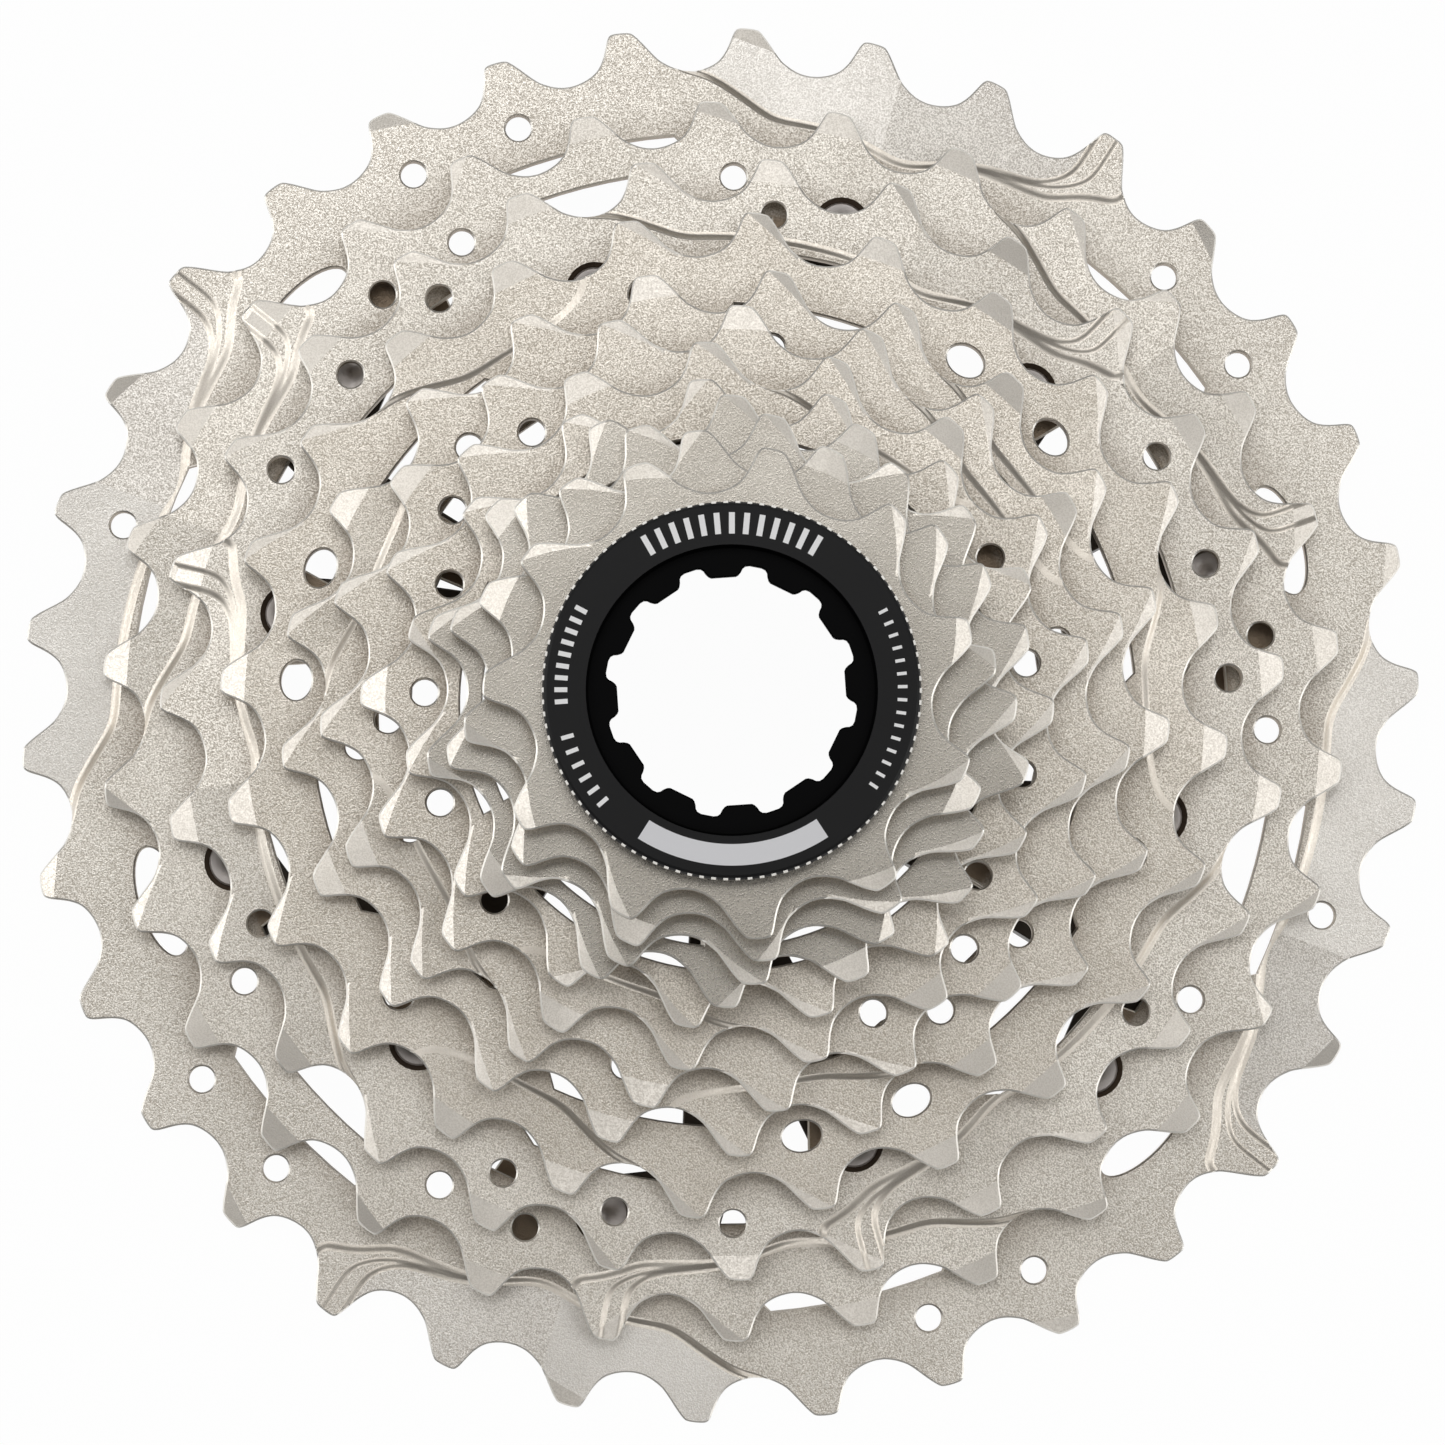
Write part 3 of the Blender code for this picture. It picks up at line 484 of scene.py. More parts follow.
# %% The toothed outline
CHAIN_PITCH = 12.7
ROOT_DEPTH = 3.68
STEP = 3.6
PLATE = 1.6
TEETH = [34, 30, 27, 24, 21, 19, 17, 15, 14, 13, 12, 11]
FIRST_TOOTH = [2.9, 6.8, 4.6, 10.9, 14.2, 11.5, 8.2, 22.0, 11.4, 25.0, 6.6, 13.8]
PHASE = dict(zip(TEETH, FIRST_TOOTH))
TOOTH = [(-6.35, 0.0), (-5.5, 0.10), (-4.7, 0.36), (-4.0, 0.72), (-3.3, 1.2), (-2.7, 1.85),
         (-2.1, 2.62), (-1.5, 3.40), (-1.05, 3.92), (-0.72, 4.20), (-0.25, 4.32), (0.5, 4.38),
         (1.15, 4.36), (1.50, 4.18), (1.78, 3.70), (2.05, 3.00), (2.4, 2.18), (2.8, 1.52),
         (3.3, 0.96), (4.0, 0.52), (4.8, 0.22), (5.6, 0.05)]
GATES = {34: (5, 13, 22, 30), 30: (1, 11, 21), 27: (3, 12, 21)}
GATE_STRETCH = 0.9 / 4.3


def pitch_radius(teeth):
    return CHAIN_PITCH / (2.0 * math.sin(math.pi / teeth))


def root_radius(teeth):
    return pitch_radius(teeth) - ROOT_DEPTH


def on_tooth(teeth, tooth, along, height):
    """A point of a tooth, from its centre line along the pitch circle and up from the root."""
    aside = np.degrees(np.asarray(along, float) / pitch_radius(teeth))
    angle = PHASE[teeth] + 360.0 * tooth / teeth + aside
    return polar(root_radius(teeth) + np.asarray(height, float), angle)


def toothed_outline(teeth):
    """The whole outline, counter-clockwise."""
    profile = smooth_line(TOOTH + [(CHAIN_PITCH / 2.0, 0.0)], 2)[:-1]
    along = profile[:, 0] * pitch_radius(teeth) * math.tau / teeth / CHAIN_PITCH
    made = []
    for k in range(teeth):
        taller = 1.0 + (GATE_STRETCH if k in GATES.get(teeth, ()) else 0.0)
        made.append(on_tooth(teeth, k, along, profile[:, 1] * taller))
    return np.vstack(made)


print("pitch circle of the largest sprocket:", round(2 * pitch_radius(34), 1), "mm")

# %% [markdown]
# Chains climb a cassette with the help of its ramps. A ramp is a pressed recess in the outer rim.
# It starts at a curved wall in the gap beside a tooth, runs on past three or four teeth, and on
# the largest sprockets it ends at a gate: a taller tooth with a stair of three small steps. A
# press rounds what it bends, so each wall falls in a soft S, along a few lines from its edge to
# its foot. The lists below give each edge in teeth along the rim and in millimetres up from the
# root circle.

# %% Ramps and gates
RAMPS = {34: (9, 18, 26, 35), 30: (5, 15, 25), 27: (8, 17, 26), 24: (1, 9, 17), 21: (3, 10, 17),
         19: (3, 12), 17: (4, 13)}
WIDEST_RIM = 8.0
OUTSIDE = 6.0
RAMP_EDGE = [(-0.33, OUTSIDE), (-0.34, 2.0), (-0.35, 0.0), (-0.60, -0.7), (-0.77, -1.9), (-0.98, -3.5),
             (-1.18, -5.0), (-1.37, -5.35), (-1.65, -5.4)]
FADE_EDGE = [(-2.10, -5.0), (-2.45, -3.0), (-2.60, 0.0), (-2.60, OUTSIDE)]
BELT_EDGE = [(2.0, -6.0), (1.72, -6.9), (1.5, -7.2), (1.235, -6.05)]
STAIR = [[(0.95, -4.35), (0.57, -3.65), (0.30, -2.85), (0.12, -0.35), (0.115, 1.85), (0.115, OUTSIDE)],
         [(0.95, -4.6), (0.55, -4.0), (0.21, -2.8), (-0.02, -0.25), (-0.03, 1.85), (-0.02, OUTSIDE)],
         [(0.95, -5.0), (0.40, -4.55), (0.175, -3.9), (0.01, -2.3), (-0.22, -0.75), (-0.357, -0.1),
          (-0.36, OUTSIDE)]]
STEP_DROPS = 0.26, 0.22, 0.34
STEP_WALLS = 0.70, 0.60, 0.95
WALL_LINES = np.linspace(0.0, 1.0, 6)
FADE_DEPTH = 0.55
PLAIN_FADE = [-2.5, -0.9], [0.0, 1.0]
RIDGE = 1.76
RIDGE_SHARE = 0.15


def next_smaller(teeth):
    """The tooth count of the sprocket in front."""
    return TEETH[TEETH.index(teeth) + 1]


def rim_scale(teeth):
    """How wide the visible rim is, against the widest one."""
    return (root_radius(teeth) - root_radius(next_smaller(teeth))) / WIDEST_RIM


def rim_loop(teeth, tooth, line):
    """A closed counter-clockwise loop about a recess, from its edge counted in teeth."""
    scale = rim_scale(teeth)
    line = relaxed(smooth_line([(u, h * scale if h < 0 else h) for u, h in line], 6))
    back = np.linspace(line[-1, 0], line[0, 0], 24)[1:-1]
    line = np.vstack([line, np.column_stack([back, np.full(len(back), OUTSIDE + 3.0)])])
    return on_tooth(teeth, tooth, line[:, 0] * math.tau / teeth * pitch_radius(teeth), line[:, 1])


def walls(loop, width):
    """Lines down a soft wall, from its edge to its foot."""
    return [offset(loop, width * share) for share in WALL_LINES]


def recesses(teeth):
    """Each recess: the lines down its wall, the wall's width, its drop, its first tooth, and how it fades."""
    made = []
    gates = GATES.get(teeth)
    for k, ramp in enumerate(RAMPS.get(teeth, ())):
        if not gates:
            loop = rim_loop(teeth, ramp, RAMP_EDGE + FADE_EDGE)
            made.append((walls(loop, STEP_WALLS[0]), STEP_WALLS[0], FADE_DEPTH, ramp, PLAIN_FADE))
            continue
        gate = gates[k]
        run = [(u + ramp - gate, h) for u, h in RAMP_EDGE] + BELT_EDGE
        fade = [0.2, RIDGE, ramp - gate - 0.5], [1.0, RIDGE_SHARE, 1.0]
        for stair, drop, wall in zip(STAIR, STEP_DROPS, STEP_WALLS):
            loop = rim_loop(teeth, gate, run + stair)
            made.append((walls(loop, wall), wall, drop, gate, fade))
    return made


def teeth_along(teeth, tooth, points):
    """How many teeth each point lies counter-clockwise of one tooth."""
    angle = np.degrees(np.arctan2(points[:, 1], points[:, 0])) - PHASE[teeth]
    return ((angle * teeth / 360.0 - tooth + teeth / 2.0) % teeth) - teeth / 2.0


print("recesses of the largest sprocket:", len(recesses(34)))

# %% [markdown]
# Tooth tips are chamfered by planes that lean to one side or the other, to guide the chain. Each
# kind of facet is the line where it starts, by its ends on the leading and the trailing flank, and
# its slope. A short row of letters, repeated round the sprocket, gives each tooth its kind.

# %% Tip facets
FACETS = {"n": (9.0, 9.0, -9.0, 9.0, 0.0),
          "f": (4.2, 1.95, -4.2, 1.95, 0.24),
          "l": (4.4, -0.3, -1.3, 5.2, 0.26),
          "t": (2.2, 5.0, -4.4, 0.0, 0.24),
          "s": (2.6, 3.6, -3.4, 1.7, 0.30)}
FACET_ROW = {34: "nsnnsnnnsn", 30: "fsfltf", 27: "ftft", 24: "fttf", 21: "ttf", 19: "tft", 17: "ttf",
             15: "ltt", 14: "tlf", 13: "tlt", 12: "ltf", 11: "stn"}
LOWEST_FACET = 0.25


def facet_tables(teeth):
    """One crease for each tooth, as arrays."""
    row = FACET_ROW[teeth]
    return np.array([FACETS[row[k % len(row)]] for k in range(teeth)])


def facet_drop(teeth, table, points):
    """How far each point lies below the face because of its tooth's facet."""
    angle = np.degrees(np.arctan2(points[:, 1], points[:, 0])) - PHASE[teeth]
    step = 360.0 / teeth
    tooth = np.rint(angle / step)
    along = np.radians(angle - tooth * step) * pitch_radius(teeth)
    height = np.hypot(points[:, 0], points[:, 1]) - root_radius(teeth)
    lead, lead_up, trail, trail_up, slope = table[tooth.astype(int) % teeth].T
    run, rise = trail - lead, trail_up - lead_up
    beyond = (rise * (along - lead) - run * (height - lead_up)) / np.hypot(run, rise)
    return np.where(height > LOWEST_FACET, slope * np.maximum(beyond, 0.0), 0.0)


def facet_creases(teeth, table):
    """A short line across each tooth, where its facet starts."""
    t = np.linspace(0.0, 1.0, 5)
    return [on_tooth(teeth, k, lead + (trail - lead) * t, lead_up + (trail_up - lead_up) * t)
            for k, (lead, lead_up, trail, trail_up, slope) in enumerate(table) if slope]


print("facets on the largest sprocket:", len(facet_creases(34, facet_tables(34))))

# %% [markdown]
# One function now makes any sprocket. It collects the drops, stands the plate at its place in
# the stack, gives it countersinks where rivets sit, and paints the floors, walls and facets, with
# painted shade in the countersinks.

# %% One sprocket
SINK_RADIUS = 2.9
RIVET_HOLE = 1.9
SINK_FLOOR = RIVET_HOLE + BEVEL * 1.5
SINK_DEPTH = 0.9
LEAST_PLATE = 0.35
FACET_TRACE = 0.004
SHADE_AND_STAIN_REACH = 0.7
RIDGE_LINE = np.linspace(-6.4, OUTSIDE, 9)


def place_in_stack(teeth):
    return STEP * TEETH.index(teeth)


def near_any(points, centres, radius):
    """True for each point that lies near one of the centres."""
    return np.any([np.hypot(*(points - centre).T) < radius for centre in centres], axis=0)


def sprocket(teeth, openings, tones, sinks=(), back_sinks=()):
    """One toothed plate with its openings, ramps, gates, facets and countersinks."""
    base = place_in_stack(teeth)
    table = facet_tables(teeth)
    pressed = recesses(teeth)
    floors = [item[0][-1] for item in pressed[::3]]
    gates = GATES.get(teeth, ())
    holes = [circle(RIVET_HOLE, centre) for centre in [*sinks, *back_sinks]]
    rings = [line for item in pressed for line in item[0]] + [circle(SINK_RADIUS, centre) for centre in sinks]
    creases = facet_creases(teeth, table)
    creases += [on_tooth(teeth, gate + RIDGE, np.zeros(len(RIDGE_LINE)), RIDGE_LINE) for gate in gates]

    def front(points):
        drop = facet_drop(teeth, table, points)
        for lines, width, depth, tooth, fade in pressed:
            down = np.clip(depth_inside(points, lines[0]) / width, 0.0, 1.0)
            fall = depth * down ** 2 * (3.0 - 2.0 * down)
            drop += fall * np.interp(teeth_along(teeth, tooth, points), *fade)
        drop = np.where(near_any(points, sinks, SINK_FLOOR), SINK_DEPTH, drop)
        return base + PLATE - np.minimum(drop, PLATE - LEAST_PLATE)

    def back(points):
        return base + SINK_DEPTH * near_any(points, back_sinks, SINK_FLOOR) * np.ones(len(points))

    def on_floor(points):
        return np.any([inside(points, floor) for floor in floors], axis=0)

    def on_slope(points):
        past = [teeth_along(teeth, gate, points) > RIDGE for gate in gates]
        return np.any([inside(points, floor) & side for floor, side in zip(floors, past)], axis=0)

    def on_facet(points):
        return facet_drop(teeth, table, points) > FACET_TRACE

    def on_wall(points):
        return np.any([inside(points, item[0][0]) & ~inside(points, item[0][-1]) for item in pressed], axis=0)

    def in_sink(points):
        return near_any(points, sinks, SINK_RADIUS)

    paints = [(POCKET, on_floor), (SLOPE, on_slope)] if teeth == TEETH[0] else []
    paints += [(FACET, on_facet)]
    paints += [(FLANK, on_wall)] if pressed else []
    # Painted shade in the countersinks.
    paints += [(RECESS_SHADE, in_sink)] if len(sinks) else []
    # Painted shade from the next sprocket: its root radius sets where the covered brown begins, and the reach
    # sets how far the faint shade fades across the rim.
    cover = root_radius(next_smaller(teeth)) if teeth > TEETH[-1] else 0.0
    reach = SHADE_AND_STAIN_REACH * (root_radius(teeth) - cover)
    material = blasted_nickel(f"nickel_{teeth}t", *tones, cover, reach)
    piece = plate(f"steel_sprocket_{teeth}t", [toothed_outline(teeth), *openings, *holes], front, back,
                  material, creases, rings, [circle(SINK_RADIUS, centre) for centre in back_sinks],
                  paints=paints)
    dress(piece, [f"sprocket_{teeth}t"])
    return piece


print("the smallest sprocket stands", round(place_in_stack(11), 1), "mm up the stack")

# %% [markdown]
# The four largest sprockets are open rings, riveted to two spiders. Their inner edges step in
# and out between riveting tabs, and their rims are drilled. The angles are those of the photo.

# %% Riveted sprockets
TAB_LIP = 0.5
REAR_RIVET, FRONT_RIVET, INNER_RIVET = 50.3, 43.8, 35.8
REAR_TURN, FRONT_TURN, INNER_TURN = 16.5, 46.9, 43.9
REAR_SPOTS = polar(REAR_RIVET, around(REAR_TURN))
FRONT_SPOTS = polar(FRONT_RIVET, around(FRONT_TURN))
INNER_SPOTS = polar(INNER_RIVET, around(INNER_TURN))


def thrice(*angles):
    """The same angles in each third of the circle."""
    return [angle + turn for turn in (0.0, 120.0, 240.0) for angle in angles]


def drilled(radius, angles, size=1.3):
    """Round holes on one circle."""
    return [circle(size, centre) for centre in polar(radius, np.asarray(angles, float))]


def tab(rivet_circle):
    """How far in a riveting tab reaches."""
    return rivet_circle - SINK_RADIUS - TAB_LIP


def inner_edge(first, count, corners):
    """A clockwise inner edge that steps in and out: pairs of angles, each pair with one radius."""
    loop = []
    for middle in around(first, count):
        loop += [arc(radius, middle + start, middle + end) for start, end, radius in corners]
    return np.vstack(loop)[::-1]


def oval(radius, angle, width=11.2, height=4.4, sides=40):
    """A rounded opening that lies along a rim."""
    turn = -math.tau * np.arange(sides) / sides
    out, along = polar(1.0, angle), polar(1.0, angle + 90.0)
    shape = np.outer(height / 2 * np.cos(turn), out), np.outer(width / 2 * np.sin(turn), along)
    return polar(radius, angle) + shape[0] + shape[1]


rear_tab, front_tab, inner_tab = tab(REAR_RIVET), tab(FRONT_RIVET), tab(INNER_RIVET)
edge_34 = inner_edge(43.2, 6, [(-8.5, 8.5, 58.7), (10.5, 19.0, 56.5), (20.5, 39.5, rear_tab),
                               (41.0, 49.5, 56.5)])
edge_30 = inner_edge(104.7, 3, [(-5.2, 5.2, 54.55), (7.5, 23.8, 49.85), (24.8, 38.8, rear_tab),
                                (39.8, 83.8, 49.85), (84.8, 98.8, rear_tab), (99.8, 112.5, 49.85)])
edge_27 = inner_edge(17.2, 6, [(-11.0, 11.0, 46.0), (14.0, 23.5, 44.5), (24.5, 35.5, front_tab),
                               (36.5, 46.0, 44.5)])
edge_24 = inner_edge(17.2, 6, [(-11.5, 11.5, 40.25), (15.0, 19.7, 37.55), (20.7, 32.4, inner_tab),
                               (33.4, 45.0, 37.55)])
ovals_34 = [oval(58.35, angle) for angle in (18.0, 135.5, -44.5, -162.0)]
holes_34 = drilled(62.6, (45.2, 34.7, 119.5, 109.0, 162.0, -134.8, -145.3, -60.5, -71.0, -18.0))
holes_30 = drilled(53.85, thrice(-1.2, 8.8, 88.9))
holes_27 = drilled(49.8, thrice(4.3, 17.6, 31.0, 84.3))
holes_24 = [oval(41.95, angle, 3.9, 3.0) for angle in thrice(40.3, 55.7)] + drilled(41.95, thrice(100.9), 1.5)
riveted = [sprocket(34, [edge_34, *ovals_34, *holes_34], LARGE_NICKEL, back_sinks=REAR_SPOTS),
           sprocket(30, [edge_30, *holes_30], LARGE_NICKEL, REAR_SPOTS),
           sprocket(27, [edge_27, *holes_27], LARGE_NICKEL, FRONT_SPOTS),
           sprocket(24, [edge_24, *holes_24], MIDDLE_NICKEL, INNER_SPOTS)]
print("riveted sprockets:", [piece.name for piece in riveted])

# %% [markdown]
# The smaller sprockets slide on a splined hub one by one. Their bores carry nine keys, one of
# them narrow, so a sprocket fits at one angle only. The wider ones are lightened by windows.

# %% Loose sprockets
KEY_COUNT = 9
FIRST_KEY = 10.0
KEY_WIDTH, NARROW_KEY_WIDTH = 4.2, 2.8
KEY_FLANK = 0.8
FIRST_SPOKE = 29.0
HALF_SPOKE = 2.0
WINDOW_INNER = 21.6
ARCH_START, ARCH_END, ARCH_FOOT = 6.5, 20.5, 27.5


def splined_bore(radius, key_radius):
    """A clockwise bore with inward keys."""
    loop = []
    pitch = 360.0 / KEY_COUNT
    for k in range(KEY_COUNT):
        middle = FIRST_KEY + pitch * k
        half = math.degrees((KEY_WIDTH if k else NARROW_KEY_WIDTH) / key_radius) / 2.0
        loop.append(arc(key_radius, middle - half, middle + half))
        loop.append(arc(radius, middle + half + KEY_FLANK, middle + pitch - half - KEY_FLANK))
    return np.vstack(loop)[::-1]


def windows(outer, arch=None):
    """Clockwise windows between six spokes, with an arch where the spider's arms pass."""
    loops = []
    low, high = math.degrees(HALF_SPOKE / WINDOW_INNER), math.degrees(HALF_SPOKE / outer)
    for spoke in around(FIRST_SPOKE):
        top = arc(outer, spoke + high, spoke + 60.0 - high)
        if arch:
            top = np.vstack([arc(arch, spoke + ARCH_START, spoke + ARCH_END),
                             arc(outer, spoke + ARCH_FOOT, spoke + 60.0 - high)])
        loops.append(np.vstack([arc(WINDOW_INNER, spoke + 60.0 - low, spoke + low), top])[::-1])
    return loops


def under_teeth(teeth, numbers):
    """The angles of some teeth."""
    return [PHASE[teeth] + 360.0 * number / teeth for number in numbers]


bore = splined_bore(17.5, 16.2)
holes_21 = drilled(35.8, under_teeth(21, (0, 3, 4, 7, 10, 11, 14, 17, 18)))
holes_19 = drilled(32.7, under_teeth(19, (0, 1, 6, 7, 9, 10, 15, 16)))
holes_17 = drilled(29.1, under_teeth(17, (0, 1, 7, 8, 9, 10, 15, 16)))
loose = [sprocket(21, [bore, *windows(33.7, 35.2), *holes_21], MIDDLE_NICKEL),
         sprocket(19, [bore, *windows(30.4), *holes_19], MIDDLE_NICKEL),
         sprocket(17, [bore, *windows(26.7), *holes_17], MIDDLE_NICKEL),
         sprocket(15, [bore, *windows(25.6)], MIDDLE_NICKEL),
         sprocket(14, [bore, *windows(23.4)], SMALL_NICKEL),
         sprocket(13, [bore], SMALL_NICKEL),
         sprocket(12, [bore], SMALL_NICKEL),
         sprocket(11, [splined_bore(16.3, 15.7)], SMALL_NICKEL)]
print("loose sprockets:", [piece.name for piece in loose])

# %% [markdown]
# Two dark spiders carry the large sprockets. Little of them shows: a glint behind a hole, an arm
# behind a window. They are plates too, with a higher hub and arms that step down towards their
# rivets, so their heights are a short table of radius and height.

# %% Spiders
HUB = 21.0
ARM = 5.2
REAR_ARM, FRONT_ARM = 28.0, 35.5
FAR = 99.0


def spider_outline(sides):
    """A hub with six arms: each arm is radius and angle pairs, up one side and down the other."""
    loop = []
    for turn in around(0.0):
        loop += [polar(radius, angle + turn)[None, :] for radius, angle in sides]
        loop.append(arc(HUB, sides[-1][1] + turn, sides[0][1] + turn + 60.0)[1:-1])
    return np.vstack(loop)


def wide(width, radius):
    """The angle that a width takes at a radius."""
    return math.degrees(width / radius)


def ccw_circle(radius):
    """A fine counter-clockwise circle."""
    return circle(radius, sides=96)[::-1]


def stepped(points, steps):
    """A height for each ring: pairs of outer radius and height, from the axis out."""
    radius = np.hypot(*points.T)
    made = np.full(len(points), steps[-1][1], float)
    for limit, height in reversed(steps[:-1]):
        made[radius < limit] = height
    return made


def spider(name, sides, spots, front_steps, back_steps, rings, back_rings):
    """One carrier: its arms, its rivet holes, its heights, and the circles where they change."""
    return plate(name, [spider_outline(sides), bore, *[circle(RIVET_HOLE, spot) for spot in spots]],
                 lambda points: stepped(points, front_steps), lambda points: stepped(points, back_steps),
                 GRAPHITE, rings=[ccw_circle(radius) for radius in rings],
                 back_rings=[ccw_circle(radius) for radius in back_rings], worn_edges_and_wall_shade=False)


pad = SINK_RADIUS + TAB_LIP
half_hub, foot = wide(ARM / 2, HUB), wide(SINK_RADIUS, REAR_RIVET)
elbow = REAR_RIVET - 4.5
rear_end = REAR_RIVET + SINK_RADIUS + TAB_LIP
rear_sides = [(HUB, REAR_ARM - half_hub), (elbow - ARM / 4, REAR_ARM - wide(ARM / 2, elbow)),
              (REAR_RIVET - SINK_RADIUS, REAR_TURN - foot), (rear_end, REAR_TURN - foot),
              (rear_end, REAR_TURN + foot), (REAR_RIVET, REAR_ARM + wide(ARM / 4, elbow)),
              (elbow, REAR_ARM + wide(ARM / 2, elbow)), (HUB, REAR_ARM + half_hub)]
rear_rings = (20.2, 20.65, 43.7, 44.5)
rear = spider("rear_spider", rear_sides, REAR_SPOTS, [(20.6, 6.9), (44.1, 4.9), (FAR, 3.3)],
              [(20.6, 0.0), (44.1, 0.3), (FAR, 1.9)], rear_rings, rear_rings)
dress(rear, ["rear_carrier"])
reach = FRONT_RIVET + pad
front_sides = [(HUB, FRONT_ARM - half_hub), (INNER_RIVET, INNER_TURN - wide(pad, INNER_RIVET)),
               (reach, FRONT_TURN - wide(pad, reach)), (reach, FRONT_TURN + wide(pad, reach)),
               (INNER_RIVET, INNER_TURN + wide(pad, INNER_RIVET)), (HUB, FRONT_ARM + half_hub)]
front = spider("front_spider", front_sides, np.vstack([FRONT_SPOTS, INNER_SPOTS]),
               [(20.6, 14.1), (39.4, 10.5), (FAR, 6.9)], [(21.4, 7.2), (FAR, 5.5)],
               (20.2, 20.65, 39.0, 39.8), (21.15, 21.8))
dress(front, ["front_carrier"])
print("spiders:", rear.name, front.name)

# %% [markdown]
# Rivets, spacers, serrations and ticks are one shape set down many times. A single
# Geometry Nodes tree does it: it puts points on a circle or along the axis, turns a copy of the
# shape to each, makes the copies real and gives them a finish. The sizes are named inputs.

# %% A tree that repeats a shape about the axis
REPEAT_INPUTS = [("Count", "NodeSocketInt"), ("Radius", "NodeSocketFloat"), ("Start", "NodeSocketFloat"),
                 ("Turn", "NodeSocketFloat"), ("Height", "NodeSocketFloat"), ("Rise", "NodeSocketFloat"),
                 ("Finish", "NodeSocketMaterial")]


def repeat_tree():
    """Copies of the incoming shape: angle and height grow by a step from copy to copy."""
    group = bpy.data.node_groups.new("repeat_about_axis", "GeometryNodeTree")
    group.interface.new_socket("Shape", in_out="INPUT", socket_type="NodeSocketGeometry")
    for label, kind in REPEAT_INPUTS:
        group.interface.new_socket(label, in_out="INPUT", socket_type=kind)
    group.interface.new_socket("Copies", in_out="OUTPUT", socket_type="NodeSocketGeometry")
    start = group.nodes.new("NodeGroupInput")
    given = {socket.name: Field(group, socket) for socket in start.outputs if socket.name}
    index = given["Count"].node("GeometryNodeInputIndex")
    angle = given["Start"] + given["Turn"] * index
    across = given["Radius"] * index.math("COSINE", angle)
    up = given["Radius"] * index.math("SINE", angle)
    height = given["Height"] + given["Rise"] * index
    spot = index.node("ShaderNodeCombineXYZ", X=across, Y=up, Z=height)
    points = index.node("GeometryNodePoints", Count=given["Count"], Position=spot)
    turn = index.node("ShaderNodeCombineXYZ", Z=angle)
    facing = index.node("FunctionNodeEulerToRotation", Euler=turn)
    copies = index.node("GeometryNodeInstanceOnPoints", Points=points, Instance=given["Shape"],
                        Rotation=facing)
    real = index.node("GeometryNodeRealizeInstances", Geometry=copies)
    painted = index.node("GeometryNodeSetMaterial", Geometry=real, Material=given["Finish"])
    end = group.nodes.new("NodeGroupOutput")
    group.links.new(painted.socket, end.inputs[0])
    return group


REPEAT = repeat_tree()
IDENTIFIER = {item.name: item.identifier for item in REPEAT.interface.items_tree if item.in_out == "INPUT"}
print("inputs:", list(IDENTIFIER))

# %% [markdown]
# The tree needs a seed shape. Most are turned on a lathe, so a profile of radius and height pairs
# is spun about the axis, and the ticks are plain blocks. The tree's result is copied out as a
# plain mesh, and the seed goes. A ring that stands alone is simply one copy.

# %% Shapes for the tree
ONE_COPY = {"Count": 1, "Radius": 0.0, "Start": 0.0, "Turn": 0.0, "Height": 0.0, "Rise": 0.0}
LENGTHS, ANGLES = ("Radius", "Height", "Rise"), ("Start", "Turn")


def repeated(name, shape, material, **sizes):
    """A plain mesh of copies of one small shape; lengths in millimetres, angles in degrees."""
    vertices, faces = shape
    seed = make_piece(name + "_seed", np.asarray(vertices, float) * MM, faces, [material])
    modifier = seed.modifiers.new("repeat", "NODES")
    modifier.node_group = REPEAT
    modifier[IDENTIFIER["Finish"]] = material
    for label, value in {**ONE_COPY, **sizes}.items():
        if label in LENGTHS:
            value = value * MM
        if label in ANGLES:
            value = math.radians(value)
        modifier[IDENTIFIER[label]] = value
    graph = bpy.context.evaluated_depsgraph_get()
    mesh = bpy.data.meshes.new_from_object(seed.evaluated_get(graph))
    mesh.name = name
    made = bpy.data.objects.new(name, mesh)
    bpy.context.scene.collection.objects.link(made)
    bpy.data.objects.remove(seed, do_unlink=True)
    mesh.shade_smooth()
    mesh.set_sharp_from_angle(angle=SHARP)
    return made


def turned(profile, sides):
    """A body of revolution, from a closed or axis-to-axis list of radius and height."""
    vertices, rings, faces = [], [], []
    for radius, z in profile:
        spots = polar(radius, 360.0 * np.arange(sides) / sides) if radius else np.zeros((1, 2))
        rings.append(np.arange(len(vertices), len(vertices) + len(spots)))
        vertices += [(x, y, z) for x, y in spots]
    pairs = list(zip(rings, rings[1:]))
    if profile[0][0]:
        pairs.append((rings[-1], rings[0]))
    for low, high in pairs:
        for i in range(sides):
            j = (i + 1) % sides
            corners = low[i % len(low)], low[j % len(low)], high[j % len(high)], high[i % len(high)]
            faces.append([int(corner) for corner in dict.fromkeys(corners)])
    return np.array(vertices), faces


def band(inner, outer, low, high):
    """The profile of a flat ring."""
    return [(inner, low), (outer, low), (outer, high), (inner, high)]


def block(radial, tangent, tall):
    """A small block, centred, with its length along the tangent."""
    corners = [(x * radial / 2, y * tangent / 2, z * tall / 2)
               for x in (-1, 1) for y in (-1, 1) for z in (-1, 1)]
    return corners, [(0, 1, 3, 2), (4, 6, 7, 5), (0, 4, 5, 1), (2, 3, 7, 6), (0, 2, 6, 4), (1, 5, 7, 3)]


print("faces of a block:", len(block(1.0, 1.0, 1.0)[1]))

# %% [markdown]
# A rivet's head is pressed flat into a countersink, with a small dimple from the tool. The
# profile is turned once, and the tree sets six of them on each circle. The spacers are bands of
# satin alloy, one between each pair of loose sprockets, and the tree stacks them.

